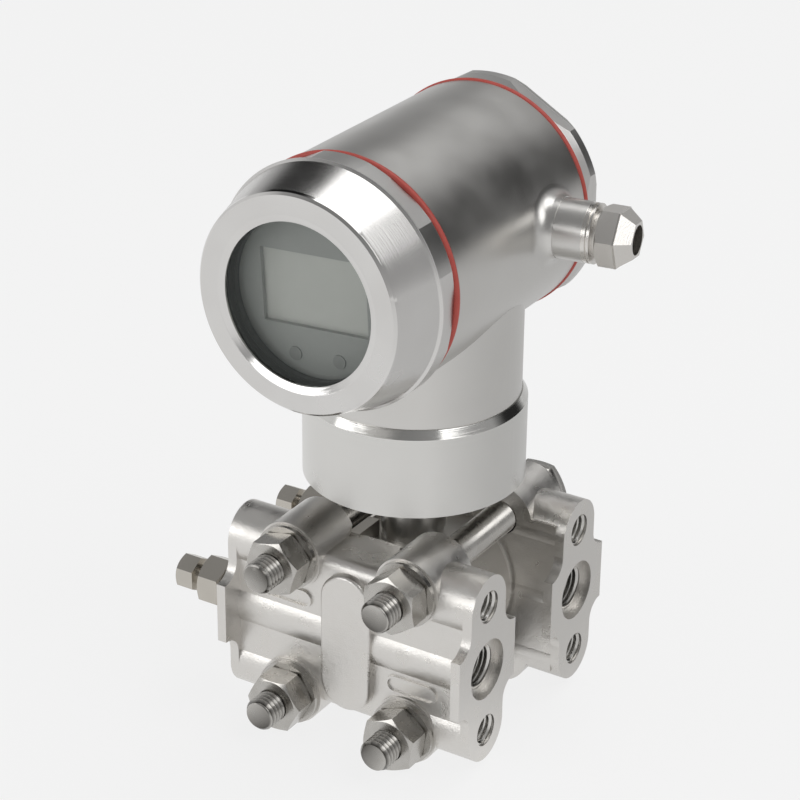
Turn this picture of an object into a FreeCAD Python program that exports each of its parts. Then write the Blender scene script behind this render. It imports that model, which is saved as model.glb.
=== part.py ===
"""Differential pressure transmitter with two clamped process flanges and a steel display head.

The row frame has its origin at the centre of the manifold bolting pattern on the process face.
X runs out of that face, Y runs from the display to the rear cover, and Z is up.
Pieces are drawn about the sensor axis, which stands port_face behind the process face.
"""
import FreeCAD, Part
import math
import os
import Sketcher

# Driving dimensions in millimetres and degrees: word, value, meaning
SIZES = [
    ("port_face", 41.9, "sensor axis to the process face"),
    ("port_pitch", 54.0, "between the two process ports"),
    ("manifold_pitch", 41.3, "between the manifold bolt holes of one flange"),
    ("manifold_hole", 4.95, "radius of an M10 bolt hole at the process end, over its thread"),
    ("vent_end_hole", 4.25, "radius of an M10 bolt hole at the vent end, as drilled for tapping"),
    ("manifold_depth", 15.0, "depth of a manifold bolt hole"),
    ("lobe_radius", 9.65, "end lobe round a manifold bolt hole"),
    ("plate_thick", 3.0, "flange end plate"),
    ("plate_half_width", 15.85, "end plate middle block, half width"),
    ("plate_half_tall", 9.65, "end plate middle block, half height"),
    ("plate_fillet", 5.8, "inside round between block and lobe"),
    ("port_recess", 9.25, "radius of the gasket recess in a port"),
    ("recess_depth", 2.7, "depth of the gasket recess"),
    ("port_bore", 6.9, "radius of the tapped port bore"),
    ("port_depth", 17.0, "depth of the tapped port bore"),
    ("port_tube", 9.7, "radius of the round rib over the port bore"),
    ("passage", 2.5, "radius of the drilled pressure passages"),
    ("flange_out", 8.3, "flange body beyond the port axis, outwards"),
    ("flange_in", 9.5, "flange body beyond the port axis, inwards"),
    ("flange_half_tall", 25.2, "flange body, half height"),
    ("flange_round", 3.6, "round along the flange's outer long edges"),
    ("boss_x", 20.1, "clamp bolt from the sensor axis, along X"),
    ("boss_z", 23.1, "clamp bolt from the port height"),
    ("boss_radius", 10.6, "clamp bolt boss"),
    ("boss_out", 9.4, "clamp bolt boss beyond the port axis"),
    ("bolt_hole", 5.5, "clearance hole for an M10 clamp bolt"),
    ("spot_gap", 0.4, "spot face round a washer"),
    ("pad_radius", 8.5, "end radius of the oblong pad"),
    ("pad_half_tall", 22.4, "oblong pad, half height"),
    ("pad_out", 11.0, "oblong pad beyond the port axis"),
    ("pad_round", 1.0, "round along the pad's edge"),
    ("frame_x", 21.6, "centre of a casting frame, along X"),
    ("frame_z", 9.35, "centre of a casting frame, from the port height"),
    ("frame_half_long", 8.6, "casting frame, half length"),
    ("frame_half_tall", 2.85, "casting frame, half height"),
    ("frame_rib", 0.7, "casting frame, width and height of its rib"),
    ("spigot_in", 11.0, "sealing face beyond the port axis, inwards"),
    ("spigot_radius", 24.4, "flange's raised sealing face"),
    ("chamber_radius", 17.6, "pressure chamber before the diaphragm"),
    ("chamber_depth", 1.0, "depth of that chamber"),
    ("gasket_inner", 19.6, "gasket groove, inner radius"),
    ("gasket_outer", 22.0, "gasket groove, outer radius"),
    ("gasket_depth", 1.8, "gasket groove, depth"),
    ("capsule_radius", 25.0, "sensor capsule"),
    ("capsule_flat", 21.0, "height of the flat on top of the capsule"),
    ("diaphragm_thick", 0.3, "isolating diaphragm"),
    ("diaphragm_gap", 0.4, "behind the diaphragm"),
    ("fill_radius", 0.8, "radius of the oil way through the capsule"),
    ("key_x", 8.7, "locating key, from the sensor axis"),
    ("key_width", 3.6, "locating key, across"),
    ("key_back", 8.0, "locating key, end towards the neck"),
    ("key_over", 1.7, "locating key's reach over the flange"),
    ("key_tall", 5.0, "locating key above the capsule's flat"),
    ("key_slot", 2.4, "depth of the key slot in the flange"),
    ("bolt_radius", 5.0, "M10 clamp bolt"),
    ("thread_fit", 0.04, "clearance of a fixed thread or seat"),
    ("bolt_beyond", 7.2, "clamp bolt beyond its nut"),
    ("bolt_chamfer", 1.0, "chamfer of the clamp bolt's end"),
    ("bolt_head", 6.4, "clamp bolt head height"),
    ("hex_flats", 16.0, "M10 head and nut across flats"),
    ("nut_tall", 8.0, "M10 nut height"),
    ("washer_radius", 10.0, "M10 washer"),
    ("washer_thick", 2.0, "M10 washer thickness"),
    ("vent_neck", 6.2, "vent body's round neck"),
    ("vent_neck_long", 6.1, "that neck beyond the flange's end"),
    ("vent_hex_long", 8.0, "vent body's hexagon"),
    ("vent_flats", 14.0, "vent body across flats"),
    ("vent_bore", 3.05, "vent screw's bore in the vent body"),
    ("vent_bore_deep", 9.5, "depth of that bore"),
    ("vent_hole", 1.5, "vent passage to the seat"),
    ("vent_ball", 2.4, "radius of the vent ball"),
    ("vent_ball_rise", 1.93, "centre of the vent ball beyond its seat"),
    ("vent_shank", 3.0, "vent screw shank"),
    ("vent_shank_out", 3.2, "vent screw's shank between body and head"),
    ("vent_head", 6.2, "vent screw's head"),
    ("vent_head_flats", 10.0, "vent screw across flats"),
    ("neck_radius", 9.7, "sensor neck"),
    ("neck_thread", 9.2, "sensor neck's thread in the capsule"),
    ("neck_gap", 2.2, "neck's shoulder above the capsule's flat"),
    ("neck_deep", 6.0, "neck's thread below the capsule's flat"),
    ("neck_long", 19.3, "neck between its shoulder and the collar"),
    ("neck_spigot", 8.4, "neck's spigot in the collar floor"),
    ("neck_stub", 1.5, "that spigot above the collar floor"),
    ("neck_bore", 4.0, "wire bore through the neck"),
    ("collar_radius", 33.0, "collar"),
    ("collar_tall", 24.6, "collar up to its upper edge"),
    ("collar_bevel", 2.4, "height of the collar's polished bevel"),
    ("collar_floor", 5.0, "collar floor"),
    ("collar_bore", 28.5, "collar bore for the head's spigot"),
    ("collar_land", 0.3, "collar's top face beyond the head's neck"),
    ("head_neck", 31.2, "round neck of the head"),
    ("head_fit", 0.08, "running clearance of the head's spigot"),
    ("head_spigot", 11.0, "head's spigot in the collar"),
    ("head_bore", 24.0, "wire bore of the head's neck"),
    ("head_bore_low", 18.0, "top of that bore below the head's axis"),
    ("head_rise", 46.8, "head's axis above the collar"),
    ("collar_seal", 0.9, "section radius of the collar seal"),
    ("collar_seal_drop", 5.7, "collar seal below the collar's top"),
    ("seal_play", 0.1, "play of a seal in its groove"),
    ("lock_radius", 2.0, "head lock screw"),
    ("lock_drop", 9.0, "head lock screw below the collar's top"),
    ("lock_sunk", 0.6, "lock screw below the collar's surface"),
    ("lock_key", 2.0, "lock screw's socket across flats"),
    ("tube_radius", 35.0, "head tube, outside"),
    ("tube_half", 35.2, "head tube, half length"),
    ("tube_bore", 28.6, "head tube, inside"),
    ("thread_bore", 31.6, "head tube, inside at the covers' threads"),
    ("thread_depth", 11.0, "depth of the covers' threads"),
    ("wall_front", 2.0, "partition wall's display side, along Y"),
    ("wall_thick", 4.0, "partition wall"),
    ("entry_stand", 2.0, "cable entry's lip beyond the tube"),
    ("entry_y", 17.7, "cable entry lip, along Y"),
    ("entry_rise", 3.9, "cable entry axis above the head's axis"),
    ("entry_turn", 8.0, "cable entry axis turned towards the rear, degrees"),
    ("entry_root", 9.0, "radius of the cable entry where it leaves the tube"),
    ("entry_sunk", 9.0, "cable entry's root inside the tube, from its lip"),
    ("entry_saddle", 4.5, "inside round between tube and cable entry"),
    ("entry_radius", 8.75, "radius of the cable entry's boss"),
    ("entry_long", 8.3, "cable entry boss beyond its lip"),
    ("entry_bore", 5.6, "tapped bore of the cable entry"),
    ("entry_reach", 14.0, "cable entry bore behind the lip"),
    ("seal_gap", 2.2, "between the tube's end and a cover"),
    ("seal_section", 1.05, "section radius of a cover seal"),
    ("seal_ring", 34.4, "ring radius of a cover seal"),
    ("cover_fit", 0.08, "running clearance of a cover's thread"),
    ("cover_skirt", 9.4, "cover skirt behind its band"),
    ("skirt_wall", 2.6, "cover skirt, wall"),
    ("band_radius", 36.1, "cover band between its flats"),
    ("band_flats", 68.4, "cover band across its flats"),
    ("band_long", 8.2, "flats of the front cover's band"),
    ("band_lip", 0.7, "bevel from the band to the cone"),
    ("band_back", 34.5, "radius of the band's back face, at the seal"),
    ("band_bevel", 1.8, "length of the bevel from the band's back face to its full radius"),
    ("flat_turn", -2.5, "first flat of the front cover above the right, degrees"),
    ("rear_flat_turn", 0.5, "first flat of the rear cover above the right, degrees"),
    ("cone_radius", 35.3, "front cover's cone at the band"),
    ("cone_long", 14.7, "front cover's cone"),
    ("cone_small", 31.5, "front cover's cone at the front"),
    ("face_bevel", 0.7, "bevel between cone and front face"),
    ("window_bevel", 2.1, "width of the window's polished bevel"),
    ("window_bevel_deep", 0.8, "depth of that bevel"),
    ("window_radius", 23.3, "sight opening"),
    ("window_land", 0.6, "cylindrical land of the sight opening"),
    ("glass_radius", 25.7, "window glass"),
    ("glass_thick", 4.0, "window glass thickness"),
    ("glass_gasket", 0.6, "gasket behind the glass"),
    ("gasket_width", 2.0, "width of that gasket"),
    ("retainer_thick", 2.3, "ring that holds the glass"),
    ("retainer_inner", 23.9, "that ring, inside"),
    ("cover_cavity", 27.6, "front cover, inside"),
    ("rear_band", 5.8, "rear cover's band"),
    ("rear_plate", 2.8, "rear cover's end wall"),
    ("rear_round", 1.0, "chamfer of the rear cover's edge"),
    ("display_gap", 0.7, "from the glass retainer to the display frame"),
    ("display_radius", 25.4, "display frame"),
    ("display_deep", 6.5, "display frame's depth"),
    ("display_plate", 1.5, "display frame's front wall"),
    ("display_rim", 1.4, "display frame's side wall"),
    ("display_turn", 3.5, "display turned about the head's axis, degrees"),
    ("screen_half_wide", 16.8, "screen opening, half width"),
    ("screen_half_tall", 10.6, "screen opening, half height"),
    ("screen_rise", 0.7, "screen centre above the head's axis"),
    ("screen_border", 0.9, "screen panel beyond its opening"),
    ("button_x", 7.1, "button from the middle"),
    ("button_drop", 18.1, "buttons below the head's axis"),
    ("button_radius", 2.0, "button"),
    ("button_fit", 0.06, "running clearance of a button"),
    ("button_proud", 0.3, "button beyond the display frame"),
    ("button_collar", 2.9, "button's collar"),
    ("button_stem", 1.2, "button's stem behind its collar"),
    ("collar_thick", 0.9, "thickness of the button's collar"),
    ("collar_play", 0.1, "behind the display frame's wall"),
    ("switch_tall", 1.2, "switch on the display board"),
    ("switch_gap", 0.5, "button's travel to its switch"),
    ("board_thick", 1.6, "circuit boards"),
    ("board_gap", 23.0, "between the display board and the main board"),
    ("main_board_radius", 26.0, "main board"),
    ("post_radius", 2.4, "board posts"),
    ("post_circle", 21.0, "board posts from the axis"),
    ("screw_head", 2.3, "board screw head"),
    ("screw_head_tall", 1.6, "board screw head height"),
    ("block_half_wide", 19.0, "terminal block, half width"),
    ("block_half_tall", 8.0, "terminal block, half height"),
    ("block_deep", 13.0, "terminal block, depth"),
    ("terminal_pitch", 8.4, "between terminal screws"),
    ("terminal_radius", 2.6, "terminal screw head"),
    ("terminal_sunk", 1.5, "terminal screw head's pocket"),
    ("terminal_rise", 2.0, "terminal screws above the block's middle"),
    ("wire_hole", 1.9, "radius of a wire opening"),
    ("wire_back", 4.5, "wire opening behind the block's face"),
    ("wire_deep", 9.0, "depth of a wire opening"),
    ("gland_ring", 8.7, "gland body's flange"),
    ("gland_flange", 1.2, "gland body's flange thickness"),
    ("gland_groove", 0.6, "groove in the gland body's rim"),
    ("gland_thread", 6.6, "gland body's outer thread"),
    ("gland_entry", 5.5, "gland body's thread in the entry"),
    ("gland_entry_long", 7.0, "length of that thread"),
    ("gland_bore", 4.3, "cable bore of the gland body"),
    ("gland_neck", 6.3, "gland body's outer thread beyond its flange"),
    ("grommet_step", 1.3, "grommet's seat beyond the cable bore"),
    ("grommet_deep", 3.0, "grommet's seat in the gland body"),
    ("grommet_proud", 1.0, "grommet beyond the gland body"),
    ("grommet_play", 0.05, "play of the grommet in its seat"),
    ("grommet_inner", 2.4, "grommet's cable hole"),
    ("thrust_washer", 0.6, "thrust washer on the grommet"),
    ("gland_back", 3.8, "gland nut's start behind the gland body's end"),
    ("gland_hex", 6.1, "gland nut's hexagon"),
    ("gland_dome", 4.1, "gland nut's six-sided dome"),
    ("gland_tip_radius", 5.0, "gland nut's outer end"),
    ("gland_hole", 4.3, "cable hole of the gland nut"),
    ("gland_flats", 16.0, "gland nut across flats"),
    ("gland_turn", 23.0, "turn of the gland nut's hexagon, degrees"),
    ("gland_fit", 0.08, "running clearance of the gland nut's thread"),
    ("header_radius", 12.0, "sensor board in the collar"),
]
# Flats round a cover's band
BAND_SIDES = 6
# Turn of each clamp nut about its bolt, as it was tightened, in degrees
NUT_TURNS = {(-1, 1): 13.0, (1, 1): 34.0, (-1, -1): 2.0, (1, -1): 22.0}
# Turn of each bolt head behind
HEAD_TURNS = {(-1, 1): 21.0, (1, 1): 0.0, (-1, -1): 40.0, (1, -1): 11.0}
CORNERS = [(-1, 1), (1, 1), (-1, -1), (1, -1)]

doc = FreeCAD.newDocument("transmitter")
sheet = doc.addObject("Spreadsheet::Sheet", "dims")
sheet.Label = "driving dimensions"


class Size:
    """A length, angle or ratio: its value now, and the sheet expression that drives it."""

    def __init__(self, value, text):
        self.value = value
        self.text = text

    def __add__(self, other):
        other = as_size(other)
        return Size(self.value + other.value, f"({self.text} + {other.text})")

    def __radd__(self, other):
        return as_size(other) + self

    def __sub__(self, other):
        other = as_size(other)
        return Size(self.value - other.value, f"({self.text} - {other.text})")

    def __rsub__(self, other):
        return as_size(other) - self

    def __mul__(self, other):
        other = as_size(other)
        return Size(self.value * other.value, f"({self.text} * {other.text})")

    def __rmul__(self, other):
        return as_size(other) * self

    def __truediv__(self, other):
        other = as_size(other)
        return Size(self.value / other.value, f"({self.text} / {other.text})")

    def __neg__(self):
        return Size(-self.value, f"(0 - {self.text})")


def as_size(number):
    """A plain number as a Size."""
    if isinstance(number, Size):
        return number
    return Size(float(number), f"({float(number)})")


def cosine(angle):
    angle = as_size(angle)
    return Size(math.cos(math.radians(angle.value)), f"cos({angle.text} * 1 deg)")


def sine(angle):
    angle = as_size(angle)
    return Size(math.sin(math.radians(angle.value)), f"sin({angle.text} * 1 deg)")


class Driving:
    """The driving dimensions by name."""


D = Driving()
for row, (word, value, meaning) in enumerate(SIZES, start=1):
    sheet.set(f"A{row}", meaning)
    sheet.set(f"B{row}", str(value))
    sheet.setAlias(f"B{row}", word)
    setattr(D, word, Size(value, f"dims.{word}"))
doc.recompute()

# Places worked out from the driving dimensions, from the sensor's middle outwards and upwards
D.port_axis = D.port_pitch / 2
D.flange_front = D.port_axis + D.flange_out
D.flange_back = D.port_axis - D.flange_in
D.boss_face = D.port_axis + D.boss_out
D.pad_face = D.port_axis + D.pad_out
D.capsule_half = D.port_axis - D.spigot_in
D.key_front = D.flange_back + D.key_over
D.key_top = D.capsule_flat + D.key_tall
D.bolt_long = 2 * D.boss_face + D.washer_thick + D.nut_tall + D.bolt_beyond
D.vent_hex_start = D.port_face + D.vent_neck_long
D.vent_hex_end = D.vent_hex_start + D.vent_hex_long
D.vent_seat = D.vent_hex_end - D.vent_bore_deep
D.vent_head_start = D.vent_hex_end + D.vent_shank_out
D.vent_head_end = D.vent_head_start + D.vent_head
D.neck_foot = D.capsule_flat + D.neck_gap
D.neck_root = D.capsule_flat - D.neck_deep
D.collar_foot = D.neck_foot + D.neck_long
D.collar_shoulder = D.collar_foot + D.collar_tall
D.collar_top = D.collar_shoulder + D.collar_bevel
D.neck_top = D.collar_foot + D.collar_floor + D.neck_stub
D.head_spigot_foot = D.collar_top - D.head_spigot
D.collar_seal_z = D.collar_top - D.collar_seal_drop
D.lock_z = D.collar_top - D.lock_drop
D.head_z = D.collar_top + D.head_rise
D.wall_back = D.wall_front + D.wall_thick
D.entry_x = D.tube_radius + D.entry_stand
D.cover_back = D.tube_half + D.seal_gap
D.skirt_radius = D.thread_bore - D.cover_fit
D.skirt_end = D.cover_back - D.cover_skirt
D.cone_start = D.cover_back + D.band_long + D.band_lip
D.cone_end = D.cone_start + D.cone_long
D.front_face = D.cone_end + D.face_bevel
D.glass_seat = D.front_face - D.window_bevel_deep - D.window_land
D.glass_back = D.glass_seat - D.glass_thick
D.gasket_back = D.glass_back - D.glass_gasket
D.retainer_back = D.gasket_back - D.retainer_thick
D.display_face = D.retainer_back - D.display_gap
D.display_board_y = D.display_face - D.display_deep
D.main_board_y = D.display_board_y - D.board_thick - D.board_gap
D.gland_flange_end = D.entry_long + D.gland_flange
D.gland_thread_end = D.gland_flange_end + D.gland_neck
D.grommet_foot = D.gland_thread_end - D.grommet_deep
D.grommet_end = D.gland_thread_end + D.grommet_proud
D.thrust_end = D.grommet_end + D.thrust_washer
D.gland_nut_start = D.gland_thread_end - D.gland_back
D.gland_hex_end = D.gland_nut_start + D.gland_hex
D.gland_tip = D.gland_hex_end + D.gland_dome

PARTS = []


def keep(thing, name):
    """Give a finished sub-part its name, which is also its file's name."""
    thing.Label = name
    PARTS.append((name, thing))
    return thing


def bind(thing, prop, size):
    """Tie a property to the sheet."""
    thing.setExpression(prop, as_size(size).text)


def seat(thing, x=0.0, y=0.0, z=0.0, axis=(0, 0, 1), turn=0.0):
    """Place a piece by its point about the sensor axis and its turn about an axis."""
    turn = as_size(turn)
    thing.Placement = FreeCAD.Placement(
        FreeCAD.Vector(0, 0, 0), FreeCAD.Rotation(FreeCAD.Vector(*axis), turn.value))
    bind(thing, "Placement.Base.x", as_size(x) - D.port_face)
    bind(thing, "Placement.Base.y", y)
    bind(thing, "Placement.Base.z", z)
    if "dims." in turn.text:
        bind(thing, "Placement.Rotation.Angle", turn)
    return thing


def new_body(name):
    return doc.addObject("PartDesign::Body", name + "_body")


def sketch_on(body, plane, offset=0.0, shift=(0.0, 0.0), turn=None):
    """A sketch on one of the body's own origin planes, moved along its normal by offset."""
    sketch = body.newObject("Sketcher::SketchObject", body.Name + "_sketch")
    support = [item for item in body.Origin.OriginFeatures if item.Role == plane][0]
    sketch.AttachmentSupport = [(support, "")]
    sketch.MapMode = "FlatFace"
    if turn is not None:
        sketch.AttachmentOffset = FreeCAD.Placement(
            FreeCAD.Vector(0, 0, 0), FreeCAD.Rotation(FreeCAD.Vector(0, 1, 0), turn.value))
        bind(sketch, "AttachmentOffset.Rotation.Angle", turn)
    bind(sketch, "AttachmentOffset.Base.x", shift[0])
    bind(sketch, "AttachmentOffset.Base.y", shift[1])
    bind(sketch, "AttachmentOffset.Base.z", offset)
    return sketch


def pin_point(sketch, geometry, end, u, v):
    """Hold one point of the sketch at two driven coordinates."""
    for kind, size in (("DistanceX", as_size(u)), ("DistanceY", as_size(v))):
        index = sketch.addConstraint(Sketcher.Constraint(kind, -1, 1, geometry, end, size.value))
        if "dims." in size.text:
            sketch.setExpression(f"Constraints[{index}]", size.text)


def outline(sketch, corners):
    """A closed outline; a corner with a third number starts an arc of that radius to the next.

    A positive radius turns left on its way to the next corner and a negative one turns right.
    """
    corners = [tuple(as_size(number) for number in corner) for corner in corners]
    first = sketch.GeometryCount
    count = len(corners)
    ends = []
    for index, corner in enumerate(corners):
        following = corners[(index + 1) % count]
        start = FreeCAD.Vector(corner[0].value, corner[1].value, 0)
        stop = FreeCAD.Vector(following[0].value, following[1].value, 0)
        if len(corner) == 2:
            sketch.addGeometry(Part.LineSegment(start, stop))
            ends.append((1, 2))
            continue
        left = corner[2].value > 0
        if not left:
            start, stop = stop, start
        radius = abs(corner[2].value)
        chord = stop - start
        rise = math.sqrt(max(radius ** 2 - chord.Length ** 2 / 4, 0.0)) / chord.Length
        centre = (start + stop) * 0.5 + FreeCAD.Vector(-chord.y, chord.x, 0) * rise
        begin = math.atan2(start.y - centre.y, start.x - centre.x)
        end = math.atan2(stop.y - centre.y, stop.x - centre.x)
        if end < begin:
            end = end + 2 * math.pi
        ring = Part.Circle(centre, FreeCAD.Vector(0, 0, 1), radius)
        sketch.addGeometry(Part.ArcOfCircle(ring, begin, end))
        ends.append((1, 2) if left else (2, 1))
    for index in range(count):
        following = (index + 1) % count
        sketch.addConstraint(Sketcher.Constraint(
            "Coincident", first + index, ends[index][1], first + following, ends[following][0]))
    for index, corner in enumerate(corners):
        pin_point(sketch, first + index, ends[index][0], corner[0], corner[1])
        if len(corner) == 3:
            radius = corner[2] if corner[2].value > 0 else -corner[2]
            held = sketch.addConstraint(Sketcher.Constraint("Radius", first + index, radius.value))
            sketch.setExpression(f"Constraints[{held}]", radius.text)


def slot_outline(half_long, half_wide, u=0.0, v=0.0, upright=False):
    """Outline with two round ends, lying along u or standing along v."""
    straight = half_long - half_wide
    if upright:
        return [
            (u + half_wide, v - straight), (u + half_wide, v + straight, half_wide),
            (u, v + half_long, half_wide), (u - half_wide, v + straight),
            (u - half_wide, v - straight, half_wide), (u, v - half_long, half_wide)]
    return [
        (u - straight, v - half_wide), (u + straight, v - half_wide, half_wide),
        (u + half_long, v, half_wide), (u + straight, v + half_wide),
        (u - straight, v + half_wide, half_wide), (u - half_long, v, half_wide)]


def circle(sketch, u, v, radius):
    """A circle with a driven centre and radius."""
    u, v, radius = as_size(u), as_size(v), as_size(radius)
    centre = FreeCAD.Vector(u.value, v.value, 0)
    index = sketch.addGeometry(Part.Circle(centre, FreeCAD.Vector(0, 0, 1), radius.value))
    pin_point(sketch, index, 3, u, v)
    held = sketch.addConstraint(Sketcher.Constraint("Radius", index, radius.value))
    sketch.setExpression(f"Constraints[{held}]", radius.text)


def box_corners(u_low, u_high, v_low, v_high):
    return [(u_low, v_low), (u_high, v_low), (u_high, v_high), (u_low, v_high)]


def regular(sides, flats, turn, u=0.0, v=0.0):
    """Corners of a regular polygon: width across flats, and the turn of its first corner."""
    reach = flats / (2 * math.cos(math.pi / sides))
    corners = []
    for index in range(sides):
        angle = as_size(turn) + 360.0 / sides * index
        corners.append((u + reach * cosine(angle), v + reach * sine(angle)))
    return corners


def pad(body, sketch, length, reverse=False):
    feature = body.newObject("PartDesign::Pad", body.Name + "_pad")
    feature.Profile = sketch
    feature.Reversed = reverse
    bind(feature, "Length", length)
    return feature


def pocket(body, sketch, length, reverse=False):
    """A cut against the sketch's normal, or along it if reversed."""
    feature = body.newObject("PartDesign::Pocket", body.Name + "_pocket")
    feature.Profile = sketch
    feature.Reversed = reverse
    bind(feature, "Length", length)
    return feature


def fillet(body, radius, chosen):
    """Round the edges of the body so far that the given test picks."""
    doc.recompute()
    base = body.Tip
    names = [f"Edge{index}" for index, edge in enumerate(base.Shape.Edges, start=1) if chosen(edge)]
    if not names:
        raise RuntimeError("no edge to round on " + body.Name)
    feature = body.newObject("PartDesign::Fillet", body.Name + "_round")
    feature.Base = (base, names)
    bind(feature, "Radius", radius)
    return feature


def revolve(body, corners, kind="Revolution"):
    """Turn a closed profile of radius and height about the body's Z axis."""
    sketch = sketch_on(body, "XZ_Plane")
    outline(sketch, corners)
    feature = body.newObject("PartDesign::" + kind, body.Name + "_turned")
    feature.Profile = sketch
    feature.ReferenceAxis = (sketch, ["V_Axis"])
    feature.Angle = 360
    return feature


def turned(name, corners):
    """A body turned about its own Z axis."""
    body = new_body(name)
    revolve(body, corners)
    return body


def chamfer_hexagon(body, flats, end, outward):
    """Round off a hexagon's corners at one end, at thirty degrees."""
    start = flats * 0.49
    reach = flats * 0.64
    rise = (reach - start) * math.tan(math.radians(30))
    revolve(body, [(start, end), (reach, end), (reach, end - outward * rise)], "Groove")


# Turn that lays a piece's own Z axis along the world's Y, -Y or -X
TO_REAR = ((1, 0, 0), -90)
TO_FRONT = ((1, 0, 0), 90)
TO_LEFT = ((0, 1, 0), -90)


def process_flange(name, turn, process_end):
    """Cast process flange: end plates, port rib, bolt bosses, lobes and pad; drawn in front.

    The one behind is the same casting turned round, so its process end is drawn on the left.
    """
    body = new_body(name)
    plate_inner = D.port_face - D.plate_thick
    middle = -D.port_axis
    # Middle block with its long outer edges rounded
    block = sketch_on(body, "YZ_Plane", -plate_inner)
    front, back, tall, corner = -D.flange_front, -D.flange_back, D.flange_half_tall, D.flange_round
    outline(block, [
        (back, -tall), (back, tall), (front + corner, tall, corner), (front, tall - corner),
        (front, -tall + corner, corner), (front + corner, -tall)])
    pad(body, block, 2 * plate_inner)
    # Round rib over the port bore
    rib = sketch_on(body, "YZ_Plane", -plate_inner)
    circle(rib, middle, 0, D.port_tube)
    pad(body, rib, 2 * plate_inner)
    # Lobes from the clamp bosses out to the end faces
    for side in (-1, 1):
        for height in (-1, 1):
            lobe = sketch_on(body, "YZ_Plane", side * D.boss_x)
            circle(lobe, middle, height * D.manifold_pitch / 2, D.lobe_radius)
            pad(body, lobe, D.port_face - D.boss_x, reverse=(side < 0))
    # End plates with an inside round where block and lobes meet
    for side in (-1, 1):
        plate = sketch_on(body, "YZ_Plane", side * plate_inner)
        wide, high = D.plate_half_width, D.plate_half_tall
        neck, lobe_z = D.lobe_radius, D.manifold_pitch / 2
        rise, foot = high + D.plate_fillet, D.lobe_radius + D.plate_fillet
        outline(plate, [
            (middle - wide, -high), (middle - foot, -high, -D.plate_fillet), (middle - neck, -rise),
            (middle - neck, -lobe_z), (middle + neck, -lobe_z), (middle + neck, -rise, -D.plate_fillet),
            (middle + foot, -high), (middle + wide, -high), (middle + wide, high),
            (middle + foot, high, -D.plate_fillet), (middle + neck, rise), (middle + neck, lobe_z),
            (middle - neck, lobe_z), (middle - neck, rise, -D.plate_fillet), (middle - foot, high),
            (middle - wide, high)])
        pad(body, plate, D.plate_thick, reverse=(side < 0))
    # Clamp bolt bosses
    for side, height in CORNERS:
        boss = sketch_on(body, "XZ_Plane", D.flange_back)
        circle(boss, side * D.boss_x, height * D.boss_z, D.boss_radius)
        pad(body, boss, D.boss_face - D.flange_back)
    # Oblong pad on the outer face, with its edge rounded
    oblong = sketch_on(body, "XZ_Plane", D.flange_back)
    outline(oblong, slot_outline(D.pad_half_tall, D.pad_radius, upright=True))
    pad(body, oblong, D.pad_face - D.flange_back)
    pad_y = -D.pad_face.value
    fillet(body, D.pad_round, lambda edge: abs(edge.BoundBox.YMin - pad_y) < 0.01
           and abs(edge.BoundBox.YMax - pad_y) < 0.01)
    # Spot faces for the washers or bolt heads
    for side, height in CORNERS:
        spot = sketch_on(body, "XZ_Plane", D.boss_face)
        circle(spot, side * D.boss_x, height * D.boss_z, D.washer_radius + D.spot_gap)
        pocket(body, spot, D.boss_out, reverse=True)
    # Bare raised frames on the casting
    for side in (-1, 1):
        frame = sketch_on(body, "XZ_Plane", D.flange_back)
        u, v = side * D.frame_x, -side * D.frame_z
        outline(frame, slot_outline(D.frame_half_long, D.frame_half_tall, u, v))
        outline(frame, slot_outline(D.frame_half_long - D.frame_rib, D.frame_half_tall - D.frame_rib, u, v))
        pad(body, frame, D.flange_front - D.flange_back + D.frame_rib)
    # Raised sealing face on the capsule side
    spigot = sketch_on(body, "XZ_Plane", D.capsule_half)
    circle(spigot, 0, 0, D.spigot_radius)
    pad(body, spigot, D.flange_back - D.capsule_half + 1)
    # Pressure chamber and gasket groove
    chamber = sketch_on(body, "XZ_Plane", D.capsule_half)
    circle(chamber, 0, 0, D.chamber_radius)
    pocket(body, chamber, D.chamber_depth, reverse=True)
    groove = sketch_on(body, "XZ_Plane", D.capsule_half)
    circle(groove, 0, 0, D.gasket_outer)
    circle(groove, 0, 0, D.gasket_inner)
    pocket(body, groove, D.gasket_depth, reverse=True)
    # Clamp bolt holes
    for side, height in CORNERS:
        hole = sketch_on(body, "XZ_Plane", D.flange_back - 2)
        circle(hole, side * D.boss_x, height * D.boss_z, D.bolt_hole)
        pocket(body, hole, D.boss_face - D.flange_back + 4, reverse=True)
    # Manifold bolt holes and ports at both ends; a vent valve closes the port at the vent end
    for side in (-1, 1):
        hole_radius = D.manifold_hole if side == process_end else D.vent_end_hole
        for height in (-1, 1):
            hole = sketch_on(body, "YZ_Plane", side * D.port_face)
            circle(hole, middle, height * D.manifold_pitch / 2, hole_radius)
            pocket(body, hole, D.manifold_depth, reverse=(side < 0))
        recess = sketch_on(body, "YZ_Plane", side * D.port_face)
        circle(recess, middle, 0, D.port_recess)
        pocket(body, recess, D.recess_depth, reverse=(side < 0))
        bore = sketch_on(body, "YZ_Plane", side * D.port_face)
        circle(bore, middle, 0, D.port_bore)
        pocket(body, bore, D.port_depth, reverse=(side < 0))
    # Drilled way from port to port, and from it to the chamber
    way = sketch_on(body, "YZ_Plane", D.port_face)
    circle(way, middle, 0, D.passage)
    pocket(body, way, 2 * D.port_face)
    inlet = sketch_on(body, "XZ_Plane", D.capsule_half)
    circle(inlet, 0, 0, D.passage)
    pocket(body, inlet, D.port_axis - D.capsule_half, reverse=True)
    # Slot for the locating key in the top inner edge
    slot = sketch_on(body, "XZ_Plane", D.flange_back - 2)
    reach = D.key_width / 2
    for side in (-1, 1):
        low, high = side * D.key_x - reach, side * D.key_x + reach
        outline(slot, box_corners(low, high, tall - D.key_slot, tall + 2))
    pocket(body, slot, D.key_front - D.flange_back + 2, reverse=True)
    seat(body, turn=turn)
    return keep(body, name)


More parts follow.
